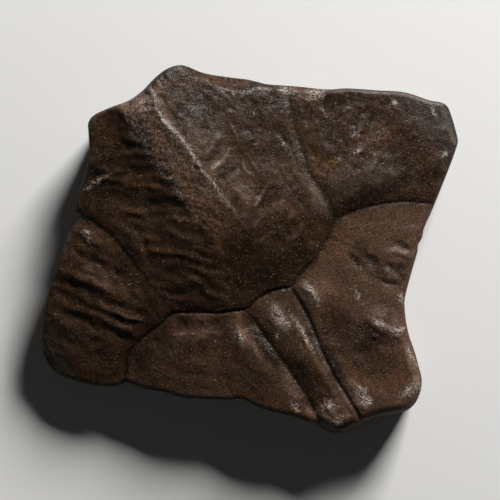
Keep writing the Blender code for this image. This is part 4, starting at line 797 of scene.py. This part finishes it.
# %% The closed bone
SIDE_RINGS = 14  # rings of faces down the sides
SIDE_HEIGHT = 4.0
LIP_BULGE = 0.30  # how far the side swells out under the front margin
SUTURE_SINK = 0.10  # and how far the toothed side sinks in
TEETH = (0.28, 1.7, 17.0)  # height, size and seed of the suture's teeth
FINE_TEETH = (0.12, 0.6, 19.0)
TEETH_STRETCH = 0.75  # the teeth are this much longer down the side than along it
points = [np.column_stack([outer_xy, outer_z]), np.column_stack([inner_xy, inner_z])]
faces = [list(face) for face in outer_faces]
first_inner = len(outer_xy)
faces += [[first_inner + i for i in reversed(face)] for face in inner_faces]
above = list(outer_rim)
next_point = first_inner + len(inner_xy)
around = np.arange(len(rim)) * RIM_SPACING
top_z, low_z = outer_z[outer_rim], inner_z[inner_rim]
for ring in range(1, SIDE_RINGS + 1):
    t = ring / SIDE_RINGS
    if ring == SIDE_RINGS:
        below = [first_inner + i for i in inner_rim]
    else:
        depth = np.full(around.shape, SIDE_HEIGHT * t)
        suture = ripples(around, TEETH_STRETCH * depth, [TEETH]) + ripples(around, depth, [FINE_TEETH])
        bulge = LIP_BULGE * margin + (suture - SUTURE_SINK) * (1 - margin)
        bulge = bulge * np.sin(np.pi * t)
        level = moved_in((1 - t) * rim + t * foot, -bulge)
        points.append(np.column_stack([level, (1 - t) * top_z + t * low_z]))
        below = list(range(next_point, next_point + len(rim)))
        next_point += len(rim)
    for i in range(len(rim)):
        j = (i + 1) % len(rim)
        faces.append([above[j], above[i], below[i], below[j]])
    above = below
points = np.vstack(points)
mesh = bpy.data.meshes.new("nuchal_bone")
mesh.from_pydata([tuple(p) for p in points * MM], [], faces)
mesh.validate()
mesh.shade_smooth()
bone = bpy.data.objects.new("nuchal_bone", mesh)
bpy.context.scene.collection.objects.link(bone)
triangles = sum(len(p.vertices) - 2 for p in mesh.polygons)
print("triangles:", triangles)

# %% [markdown]
# ## Where the finish changes
# The finish follows the form: the hollows are darkened, partly as dirt and partly as painted shade,
# and the crests are paled, partly as wear and partly as painted highlight. Comparing each point's
# height with that of its neighbourhood tells hollow from crest. The result is kept on the mesh as an
# attribute, which the material reads.

# %% Hollows and crests
SMOOTHING_ROUNDS = 10
x, y = points[:, 0], points[:, 1]
is_outer = np.arange(len(points)) < len(outer_xy)
edges = np.array([e.vertices[:] for e in mesh.edges])
height = points[:, 2].copy()
count = np.bincount(edges.ravel(), minlength=len(points))
smooth = height.copy()
for _ in range(SMOOTHING_ROUNDS):
    total = np.bincount(edges[:, 0], smooth[edges[:, 1]], len(points))
    total += np.bincount(edges[:, 1], smooth[edges[:, 0]], len(points))
    smooth = 0.5 * smooth + 0.5 * total / count
hollow_dirt_and_shade = smooth - height


def keep(name, values):
    """Stores a number for each point of the mesh under a name that the material can read."""
    attribute = mesh.attributes.new(name, "FLOAT", "POINT")
    attribute.data.foreach_set("value", values.astype(np.float32))


# Dirt and painted shade in the hollows, wear and painted highlight on the crests.
keep("hollow_dirt_and_shade", hollow_dirt_and_shade)
print("hollow, mm:", round(hollow_dirt_and_shade.min(), 3), "to", round(hollow_dirt_and_shade.max(), 3))

# %% [markdown]
# ## Spots
# Wear, stains and crusts lie where chance put them, and painted highlights and painted shade sit on
# lit and shaded parts of the form, so each is given as a round spot whose border is frayed by noise.
# One function serves them all. Where spots overlap, the strongest counts, but wear and painted
# highlight add up.

# %% Spots of wear and painted highlight
def spots(table, fray, size, seed, reach=1.5, slope=1.0, join=np.maximum, start=0.0):
    """How deep each point lies in the spots: middle, half-width, half-length and maybe strength.

    A spot is full up to (reach - 1) / slope of its half-size, and gone at reach / slope of it.
    """
    frayed = fray * ripple(x, y, size, seed)
    inside = start + np.zeros(len(points))
    for spot_x, spot_y, wide, long, *strength in table:
        away = np.hypot((x - spot_x) / wide, (y - spot_y) / long)
        here = eased(reach - slope * away - frayed)
        inside = join(inside, strength[0] * here if strength else here)
    return inside


# Pale spots of real wear and of painted highlight: many sit on ridges, lips and knobs that face the light.
WEAR_AND_HIGHLIGHT_SPOTS = [
    (-18.7, 12.0, 1.3, 3.6, 0.28), (-21.8, 8.6, 1.4, 3.0, 0.16), (-15.0, 8.0, 0.7, 7.0, 0.12),
    (-8.0, -8.0, 1.4, 1.8, 0.35), (-2.0, -6.6, 2.6, 1.4, 0.5), (4.4, -7.4, 2.6, 2.0, 0.3),
    (-2.0, -8.6, 0.7, 1.8, 0.5), (-2.3, -23.1, 1.1, 0.8, 0.9), (2.6, -23.8, 0.8, 1.6, 0.25),
    (-0.4, -17.5, 0.35, 8.0, 0.5), (-7.4, -9.0, 0.8, 3.2, 0.4), (-3.3, 26.2, 0.9, 0.8, 0.8),
    (-6.0, 26.0, 0.7, 0.6, 0.4), (18.2, 15.8, 1.0, 0.9, 0.5), (31.0, 3.8, 0.8, 2.2, 0.1),
    (-1.9, 22.6, 0.4, 2.2, 0.6), (9.6, -26.4, 1.2, 0.9, 0.4), (-21.6, 9.8, 0.8, 1.2, 0.5),
    (-20.3, 7.4, 0.8, 1.3, 0.55), (-19.1, 5.2, 0.7, 1.2, 0.5), (-22.4, 4.2, 0.7, 1.1, 0.35),
    (-20.6, 1.9, 0.8, 1.0, 0.4), (-18.2, 9.6, 0.7, 2.0, 0.35), (2.2, 14.1, 2.2, 0.4, 0.25),
    (4.5, 11.2, 0.4, 1.8, 0.2), (-27.4, 4.6, 1.0, 1.8, 0.5), (-26.0, 1.8, 0.9, 1.4, 0.5),
    (6.2, -20.8, 1.4, 1.0, 0.5), (-3.3, -23.0, 0.8, 1.0, 0.9), (-1.1, 24.0, 0.5, 1.6, 0.8),
    (6.0, 4.7, 1.2, 0.8, 0.7), (1.0, 13.6, 1.3, 0.7, 0.7), (3.4, 6.9, 1.2, 0.5, 0.2),
    (-11.6, -4.4, 2.6, 1.3, 1.4), (-8.8, -5.5, 1.9, 1.0, 1.5), (-14.6, -3.2, 2.0, 1.2, 0.6),
    (-4.5, -23.2, 0.9, 1.4, 1.5), (1.4, 11.0, 2.0, 5.0, 0.45), (0.5, 18.8, 0.9, 1.8, 0.4),
    (-2.2, -10.6, 0.9, 2.6, 0.3), (-2.2, -24.4, 1.8, 1.4, 0.8),
]
CERVICAL_SIDES = (-5.4, 1.6)  # the narrow cervical scute lies between these x
transverse_y = value_at(x, TRANSVERSE)
front_scutes = eased((transverse_y - y + 0.4) / 1.6)
on_cervical = band(x, CERVICAL_SIDES, rise=0.8, fall=0.8)
# The front scutes are paler, more so towards +X, and less on the cervical scute.
front_paleness = front_scutes * (0.12 + 0.40 * eased((x + 9.0) / 3.5)) * (1 - 0.75 * on_cervical)
wear_and_highlight = spots(WEAR_AND_HIGHLIGHT_SPOTS, fray=0.5, size=0.9, seed=31.0, reach=1.6, join=np.add, start=front_paleness)
keep("wear_and_highlight", np.clip(wear_and_highlight, 0, 1.5))
print("worn points:", np.count_nonzero(wear_and_highlight > 0.5), "of", len(points))

# %% Stains and painted shade
# Real stains and painted shade: the broad spots on the +X slopes and the bands beside the cervical scute are
# painted shade.
STAIN_AND_SHADE_SPOTS = [
    (16.6, 0.2, 5.2, 1.3, 1.0), (21.0, -0.6, 6.0, 1.3, 1.0), (1.0, -2.6, 7.0, 1.8, 0.8),
    (4.6, -14.6, 2.6, 3.2, 0.15), (7.6, -18.0, 2.2, 1.1, 0.8), (3.4, -11.4, 2.0, 2.4, 0.2),
    (1.5, -17.6, 0.9, 4.0, 1.0), (12.6, -7.8, 1.2, 2.8, 0.5), (14.8, -10.8, 0.8, 2.2, 0.5),
    (-14.3, 21.4, 1.2, 1.1, 1.5), (1.0, 8.0, 0.9, 1.0, 0.7), (1.8, 12.0, 1.8, 0.7, 0.6),
    (7.2, 15.4, 0.7, 1.5, 0.8), (6.8, 20.6, 1.2, 1.0, 0.6), (9.6, 18.0, 1.2, 2.4, 0.4),
    (-3.5, -17.0, 0.9, 3.2, 1.0), (17.0, 2.0, 2.2, 1.2, 0.6), (-20.0, 10.6, 0.8, 1.8, 0.6),
    (-21.6, -0.6, 0.9, 1.0, 0.8), (-9.0, 12.4, 1.6, 3.0, 0.5), (24.6, 9.6, 2.6, 1.4, 0.5),
    (22.0, 13.0, 2.6, 0.9, 0.5), (15.0, 14.4, 1.6, 1.4, 0.6), (18.6, 8.0, 1.4, 1.6, 0.5),
    (26.4, -1.6, 2.4, 1.4, 0.6), (-11.6, 5.0, 2.4, 1.6, 0.5), (-8.0, 22.6, 1.6, 2.2, 0.5),
    (3.0, 24.4, 3.2, 3.6, 0.45), (10.0, 22.4, 6.0, 2.6, 0.45), (-6.6, 17.0, 0.7, 4.0, 0.4),
    (-10.4, 16.0, 1.0, 1.6, 0.5), (21.0, 7.0, 9.0, 8.0, 0.34), (7.0, 15.6, 6.0, 7.0, 0.25),
    (-1.0, 0.0, 5.0, 3.4, 0.35), (16.4, 2.8, 3.4, 1.8, 0.7), (19.6, 4.4, 1.2, 1.4, 0.6),
    (2.4, 19.4, 3.4, 7.0, 0.25), (21.4, 1.8, 3.6, 1.7, 0.8), (0.8, 28.2, 3.6, 1.0, 1.0),
    (4.6, 26.8, 1.6, 1.6, 0.7), (-6.2, 23.2, 1.1, 2.8, 0.9), (-5.6, -11.5, 1.0, 4.0, 1.2),
    (30.0, -1.2, 1.6, 1.4, 0.5), (3.0, 22.6, 2.6, 2.4, 1.0), (1.1, -12.0, 0.7, 3.0, 0.9),
    (12.5, 17.8, 1.5, 2.6, 0.8), (18.6, 3.6, 1.4, 1.0, 0.9), (13.0, 3.0, 1.0, 1.4, 0.8),
    (-5.0, 6.5, 0.8, 1.6, 0.8), (16.0, -12.0, 0.8, 1.0, 0.7), (0.6, -15.0, 0.5, 2.0, 0.7),
    (30.6, 5.2, 1.2, 1.6, 0.4), (13.4, -10.0, 1.2, 1.6, 0.7), (-1.2, -26.3, 1.3, 0.6, 0.8),
    (11.2, -16.4, 0.8, 0.8, 0.6), (-5.0, 16.8, 0.6, 1.6, 0.6), (-5.4, 22.4, 0.9, 2.2, 0.9),
]
stain_and_shade = spots(STAIN_AND_SHADE_SPOTS, fray=0.4, size=1.3, seed=79.0, reach=1.4, slope=0.9)
keep("stain_and_shade", np.minimum(stain_and_shade, 1.0))
print("stained points:", np.count_nonzero(stain_and_shade > 0.5), "of", len(points))

# %% Painted highlights, rust, slate and crusts
# Painted highlights: pale flecked spots where bright glints stand, which also get a smoother gloss and a
# stronger bump.
PAINTED_HIGHLIGHT_SPOTS = [
    (-2.5, -25.2, 1.7, 0.6), (-3.4, -10.8, 0.5, 0.5), (9.0, -11.6, 0.4, 0.5), (20.0, 8.0, 0.5, 0.5),
    (18.9, 5.8, 0.4, 0.4), (27.0, 9.2, 0.4, 0.4), (-14.8, 20.2, 1.4, 0.4), (-19.4, 14.4, 0.5, 1.2),
    (-2.0, -8.6, 0.9, 1.9), (-2.3, -23.1, 1.3, 1.0), (2.7, -24.2, 0.9, 1.5), (-8.1, -8.2, 0.6, 1.0),
    (3.7, -8.0, 0.5, 1.6), (9.7, -16.6, 0.5, 1.0), (11.2, -18.6, 0.9, 0.6), (-3.4, 26.2, 1.1, 0.9),
    (9.0, -26.7, 1.8, 0.6), (-0.2, -12.4, 0.35, 2.6), (18.2, 15.8, 1.2, 0.9), (31.2, 5.2, 0.35, 0.8),
    (11.4, -22.8, 0.2, 1.5), (14.2, -15.2, 0.5, 1.0), (-6.2, -20.6, 0.5, 0.8), (1.0, 13.9, 0.9, 0.3),
    (15.0, 18.2, 0.9, 0.6), (18.4, 15.9, 1.1, 0.5), (29.4, -0.6, 0.5, 0.4), (-14.6, 20.3, 1.8, 0.3),
    (-5.3, 13.8, 0.3, 1.7),
]
RUSTY_SPOTS = [
    (6.8, -21.6, 4.6, 3.2), (-4.0, 12.0, 1.4, 8.0), (21.6, 6.4, 3.0, 1.6), (13.6, 5.0, 1.0, 2.6),
    (9.0, -3.6, 3.0, 1.4), (2.8, 23.8, 1.8, 2.4), (4.6, -13.6, 2.2, 3.6),
]
SLATE_SPOTS = [(32.6, 2.0, 1.0, 3.0), (-33.1, 2.0, 0.9, 1.7), (10.6, 20.8, 1.6, 0.7)]
CRUST_SPOTS = [
    (-11.4, -3.8, 0.25, 0.5), (-13.6, -4.6, 0.3, 0.25), (-12.6, -5.9, 0.25, 0.25),
    (-15.3, -3.8, 0.8, 0.15), (-9.3, -3.5, 0.2, 0.2), (15.2, 6.3, 0.9, 0.6),
    (18.8, 3.3, 0.3, 0.25),
]
keep("painted_highlight", spots(PAINTED_HIGHLIGHT_SPOTS, fray=0.6, size=0.8, seed=73.0))
keep("rusty", spots(RUSTY_SPOTS, fray=0.8, size=1.7, seed=107.0, slope=0.9))
keep("slate", spots(SLATE_SPOTS, fray=0.8, size=0.8, seed=101.0, reach=2.0, slope=1.6))
keep("crust", spots(CRUST_SPOTS, fray=0.7, size=0.45, seed=37.0))
print("crusts:", len(CRUST_SPOTS), "and sparkling spots:", len(PAINTED_HIGHLIGHT_SPOTS))

# %% [markdown]
# ## Bare grain, frosted crests, painted fold shade and a dark band
# The rest of the finish follows the lines of the form. The grain is bare where the skin has gone,
# the sharp crests carry a pale frost of wear and painted highlight, grooves are dark, the folds on
# the +X side carry painted shade in their furrows and painted highlight on their ridges, and a
# darker band lies behind the transverse groove. Both wing tips are ashen.

# %% Finish that follows the form
ASHEN_FROM = (26.5, -29.5)  # the tips are ashen beyond these x
DARK_BAND_WIDTH = 3.2  # the darker band reaches this far behind the transverse groove
DIM_FOLD_SHADE = 0.3  # on the +X pleural scute the painted fold shade and highlight are this much weaker
keep("rough", np.where(is_outer, rough_places(x, y), 0.35))
ashen = eased((x - ASHEN_FROM[0] - 1.5 * ripple(x, y, 3.0, 71.0)) / 4.5)
keep("ashen", ashen + 0.7 * eased((ASHEN_FROM[1] - x) / 2.5))
away, outside, inside = broken_strip(x, y)
keep("rust", outside & (away < STRIP_REACH))
on_break = inside * eased(1.1 - away / 0.7 - 0.9 * ripple(x, y, 0.8, 109.0))
on_break = on_break * (0.2 + 0.8 * eased((x - 5.5) / 3.0))
offset = beside_crest(x, y)
# A pale frost of wear and painted highlight along the keel's crest, its step, the rear end, the shelf and the
# break's border.
on_crest = np.exp(-((offset / (0.40 + 0.32 * eased((y - 14) / 5))) ** 2)) * eased((y - 5.0) / 4.0)
on_step = 0.55 * np.exp(-(((offset + 4.6) / 0.45) ** 2)) * eased((y - 6.0) / 6.0)
on_step = on_step * (1 - 0.8 * eased((y - 19.5) / 2.0))
at_end = 0.4 * eased((y - 25.6) / 1.6) * eased((3.6 - np.abs(x + 3.6)) / 2.0)
on_shelf = 0.35 * band(offset, (SHELF[0], 0), rise=0.7, fall=0.5) * eased((y - 6.0) / 8.0)
keep("frost_and_highlight", np.maximum.reduce([on_crest, on_step, at_end, on_shelf, on_break]) * is_outer)
# Painted shade in the folds' furrows and painted highlight on their ridges, only on the +X side of the keel's
# crest.
full = np.where((x > 12.0) & (y > transverse_y), DIM_FOLD_SHADE, 1.0)
keep("fold_shade_and_highlight", -folds(x, y, FOLDS) * eased(offset) * full * is_outer)
groove_lines = [smooth_line(sulcus[0], SULCUS_STEP) for sulcus in SULCI.values()]
groove_away = np.minimum.reduce([measure(x, y, line)[0] for line in groove_lines])
keep("groove", np.exp(-((groove_away / 0.38) ** 2)) * is_outer)
rim_away, _, _ = measure(x, y, rim, closed=True)
# Painted shade: the rim and the sides are darkened, and they are also made matt.
keep("edge", np.where(is_outer, eased(1 - rim_away / 0.6), 1.0))
# A darker band behind the transverse groove.
reach = DARK_BAND_WIDTH + 1.2 * ripple(x, y, 3.0, 67.0)
keep("dark_band", band(y - transverse_y, (0, reach), rise=0.3, fall=3.0))
print("attributes:", [attribute.name for attribute in mesh.attributes if attribute.data_type == "FLOAT"])

# %% [markdown]
# ## Dark mineralised bone
# The bone has taken up minerals from the ground: it is chocolate brown, redder where its grain shows
# and greyer at the tips, with a dull gloss that breaks up into small glints. Further glints are painted
# into its colour as pale specks.

# %% Helpers that make nodes
material = bpy.data.materials.new("fossil_bone")
material.use_nodes = True
tree = material.node_tree
shader = tree.nodes["Principled BSDF"]
where = tree.nodes.new("ShaderNodeTexCoord")


def joined(socket, value):
    """Links a socket to another one, or sets it to a number or a colour."""
    if hasattr(value, "is_linked"):
        tree.links.new(value, socket)
    else:
        socket.default_value = value


def speckle(size, detail=3.0, roughness=0.55):
    """Noise whose lumps are about this many millimetres across."""
    node = tree.nodes.new("ShaderNodeTexNoise")
    tree.links.new(where.outputs["Object"], node.inputs["Vector"])
    node.inputs["Scale"].default_value = 1 / (size * MM)
    node.inputs["Detail"].default_value = detail
    node.inputs["Roughness"].default_value = roughness
    return node.outputs["Fac"]


def stored(name):
    """An attribute of the mesh."""
    node = tree.nodes.new("ShaderNodeAttribute")
    node.attribute_name = name
    return node.outputs["Fac"]


def ranged(value, low, high, to_low=0.0, to_high=1.0):
    """The value with its range from low to high stretched to another range."""
    node = tree.nodes.new("ShaderNodeMapRange")
    joined(node.inputs["Value"], value)
    for name, number in zip(("From Min", "From Max", "To Min", "To Max"), (low, high, to_low, to_high)):
        node.inputs[name].default_value = number
    return node.outputs["Result"]


# %% Helpers that combine their values
def combined(operation, *values):
    """The values multiplied or added up, one after another."""
    result = values[0]
    for value in values[1:]:
        node = tree.nodes.new("ShaderNodeMath")
        node.operation = operation
        joined(node.inputs[0], result)
        joined(node.inputs[1], value)
        result = node.outputs[0]
    return result


def mixed(share, under, over, how="MIX"):
    """One colour laid over another by a share from 0 to 1."""
    node = tree.nodes.new("ShaderNodeMix")
    node.data_type = "RGBA"
    node.blend_type = how
    joined(node.inputs["Factor"], share)
    joined(node.inputs[6], under)
    joined(node.inputs[7], over)
    return node.outputs[2]


def rgb(red, green, blue):
    return (red, green, blue, 1.0)


def product(*values):
    return combined("MULTIPLY", *values)


# %% Colours of sound and bare bone
DEEP_BROWN = rgb(0.0160, 0.0068, 0.0025)
BROWN = rgb(0.0350, 0.0162, 0.0070)
LIGHT_BROWN = rgb(0.0430, 0.0225, 0.0110)
DARK_BAND_BROWN = rgb(0.0120, 0.0055, 0.0025)
REDDISH = rgb(0.0250, 0.0100, 0.0068)
OLIVE = rgb(0.0180, 0.0120, 0.0048)
bone_red = mixed(ranged(speckle(0.35, 2.0), 0.38, 0.62), rgb(0.048, 0.0205, 0.0088), rgb(0.112, 0.060, 0.034))
rust = mixed(ranged(speckle(0.55, 2.0), 0.38, 0.62), rgb(0.0100, 0.0044, 0.0022), rgb(0.0620, 0.0250, 0.0095))
skin = mixed(ranged(speckle(4.0), 0.38, 0.62), DEEP_BROWN, BROWN)
for share, colour in (
    (ranged(speckle(1.2), 0.42, 0.68), LIGHT_BROWN),
    # A darker band behind the transverse groove.
    (product(stored("dark_band"), 0.45), DARK_BAND_BROWN),
    (ranged(speckle(2.4), 0.56, 0.68, 0.0, 0.6), REDDISH),
    (ranged(speckle(2.0), 0.42, 0.30, 0.0, 0.6), OLIVE),
    (ranged(stored("rough"), 0.15, 0.85), bone_red),
):
    skin = mixed(share, skin, colour)
print("nodes in the brown:", len(tree.nodes))

# %% [markdown]
# ## Coats
# What wear and burial did to the bone, and painted shade and highlights, are laid over its brown as
# coats, one after another. Each coat has a colour and a share, which comes from an attribute of the
# mesh. Noise breaks the coats up.

# %% Coats
flecks = ranged(speckle(0.30, 2.0), 0.46, 0.58)
fine_flecks = ranged(speckle(0.17, 2.0), 0.48, 0.60)
# Painted glints: small pale specks all over that stand in for glints of light.
painted_glints = ranged(speckle(0.17, 1.5), 0.62, 0.72, 0.0, 0.60)
ochre_specks = ranged(speckle(0.50, 1.0), 0.74, 0.80, 0.0, 0.70)
WEAR_HIGHLIGHT_AND_RUST_COATS = [
    # Wear and painted highlight, pale.
    (ranged(stored("wear_and_highlight"), 0.0, 1.5), rgb(0.115, 0.063, 0.040)),
    (product(stored("ashen"), ranged(speckle(1.5), 0.3, 0.7, 0.5, 1.0)), rgb(0.042, 0.036, 0.033)),
    (product(stored("rust"), 0.90), rust),
    (product(stored("rusty"), ranged(speckle(0.7), 0.42, 0.62, 0.0, 0.75)), rgb(0.092, 0.036, 0.015)),
]
FORM_COATS = [  # hollows darker as dirt and painted shade, fold furrows darker as painted shade, crests and fold ridges paler as wear and painted highlight
    (ranged(stored("hollow_dirt_and_shade"), 0.01, 0.12), rgb(0.009, 0.0055, 0.0024)),
    (ranged(stored("hollow_dirt_and_shade"), -0.03, -0.16), rgb(0.070, 0.043, 0.028)),
    # Painted highlight on the fold ridges, then painted shade in the fold furrows.
    (ranged(stored("fold_shade_and_highlight"), -0.02, -0.10, 0.0, 0.50), rgb(0.150, 0.100, 0.075)),
    (ranged(stored("fold_shade_and_highlight"), 0.008, 0.060, 0.0, 0.70), rgb(0.0110, 0.0060, 0.0030)),
    # Stains and painted shade, dark.
    (product(stored("stain_and_shade"), 0.85), rgb(0.0100, 0.0055, 0.0028)),
    (product(stored("groove"), 0.55), rgb(0.0080, 0.0042, 0.0020)),
]
FLECKED_COATS = [
    (product(stored("slate"), 0.85, ranged(speckle(0.6, 2.0), 0.35, 0.60, 0.5, 1.0)),
     rgb(0.0130, 0.0125, 0.0125)),
    (product(stored("crust"), 0.75, flecks), rgb(0.160, 0.085, 0.022)),
    # Painted highlight.
    (product(stored("painted_highlight"), 0.80, flecks), rgb(0.320, 0.270, 0.230)),
    # Frost of wear and painted highlight.
    (product(stored("frost_and_highlight"), 0.90, fine_flecks), rgb(0.320, 0.275, 0.245)),
    (painted_glints, rgb(0.230, 0.175, 0.140)),
    (ochre_specks, rgb(0.240, 0.165, 0.095)),
]
COATS = WEAR_HIGHLIGHT_AND_RUST_COATS + FORM_COATS + FLECKED_COATS
for share, colour in COATS:
    skin = mixed(share, skin, colour)
skin = mixed(1.0, skin, ranged(speckle(0.24, 2.0), 0.30, 0.70, 0.50, 1.50), "MULTIPLY")
# Painted shade along the rim and down the sides.
skin = mixed(product(stored("edge"), 0.35), skin, rgb(0.010, 0.0055, 0.0028))
joined(shader.inputs["Base Color"], skin)
print("coats:", len(COATS))

# %% [markdown]
# ## Gloss
# Mineralised bone has a dull gloss. It is broken up by a fine bump, so that the light comes back as
# small glints and not as a grey haze. Dusty sides, the broken strip and the slate facets are matt.

# %% Gloss
GLOSS_CHANGES = [("edge", 0.45), ("rust", 0.60), ("stain_and_shade", -0.06), ("slate", 0.50)]
BUMP_HEIGHT = 0.14  # mm
shader.inputs["Metallic"].default_value = 0.0
shader.inputs["IOR"].default_value = 1.5
shader.inputs["Specular IOR Level"].default_value = 0.24
highlight_gloss_change = ranged(stored("painted_highlight"), 0.0, 1.0, 0.0, -0.08)
changes = [product(stored(name), change) for name, change in GLOSS_CHANGES]
dullness = combined("ADD", ranged(speckle(0.7, 4.0), 0.35, 0.65, 0.24, 0.38), highlight_gloss_change, *changes)
joined(shader.inputs["Roughness"], dullness)
fine_bump = tree.nodes.new("ShaderNodeBump")
joined(fine_bump.inputs["Strength"], ranged(stored("painted_highlight"), 0.0, 1.0, 0.50, 1.0))
fine_bump.inputs["Distance"].default_value = BUMP_HEIGHT * MM
joined(fine_bump.inputs["Height"], speckle(0.22, 4.0, 0.6))
joined(shader.inputs["Normal"], fine_bump.outputs["Normal"])
print("nodes in the material:", len(tree.nodes))
mesh.materials.append(material)

# %% The bone's place in the frame
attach(bone, "root")
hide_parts("nuchal_plate")
print("materials of the bone:", [m.name for m in mesh.materials])

# %% [markdown]
# ## Floor and light
# The plate lies on a plain pale floor. One soft light stands low to one side, so that every ridge
# has a lit flank and a shaded one, and a weak one fills the shade.

# %% Floor
FLOOR_SIZE = 2.0
floor_mesh = bpy.data.meshes.new("floor")
made = bmesh.new()
bmesh.ops.create_grid(made, x_segments=2, y_segments=2, size=FLOOR_SIZE / 2)
made.to_mesh(floor_mesh)
made.free()
floor = bpy.data.objects.new("floor", floor_mesh)
bpy.context.scene.collection.objects.link(floor)
floor_material = bpy.data.materials.new("floor")
floor_material.use_nodes = True
floor_shader = floor_material.node_tree.nodes["Principled BSDF"]
floor_shader.inputs["Base Color"].default_value = rgb(0.74, 0.73, 0.71)
floor_shader.inputs["Roughness"].default_value = 0.8
floor_mesh.materials.append(floor_material)
print("floor, m:", FLOOR_SIZE)

# %% Lights
def soft_light(name, azimuth, elevation, distance, size, power):
    """A square area light that looks at the plate; azimuth is counted from +X towards +Y."""
    data = bpy.data.lights.new(name, "AREA")
    data.shape = "SQUARE"
    data.size = size
    data.energy = power
    light = bpy.data.objects.new(name, data)
    turn, lift = math.radians(azimuth), math.radians(elevation)
    towards = Vector((math.cos(turn) * math.cos(lift), math.sin(turn) * math.cos(lift), math.sin(lift)))
    light.location = towards * distance
    light.rotation_euler = (-towards).to_track_quat("-Z", "Y").to_euler()
    bpy.context.scene.collection.objects.link(light)
    return light


soft_light("key", azimuth=32, elevation=23, distance=0.60, size=0.20, power=8.6)
soft_light("fill", azimuth=190, elevation=60, distance=0.80, size=0.60, power=0.12)
world = bpy.data.worlds.new("studio")
bpy.context.scene.world = world
world.use_nodes = True
background = world.node_tree.nodes["Background"]
background.inputs["Color"].default_value = rgb(1.0, 1.0, 1.0)
background.inputs["Strength"].default_value = 0.010
bpy.context.scene.view_settings.view_transform = "Standard"
print("lights:", [light.name for light in bpy.data.lights])

# %% [markdown]
# ## Size
# The dense bone has to fill the same box as the solid. Here the view layer is brought up to
# date.

# %% Bringing the view layer up to date
bpy.context.view_layer.update()
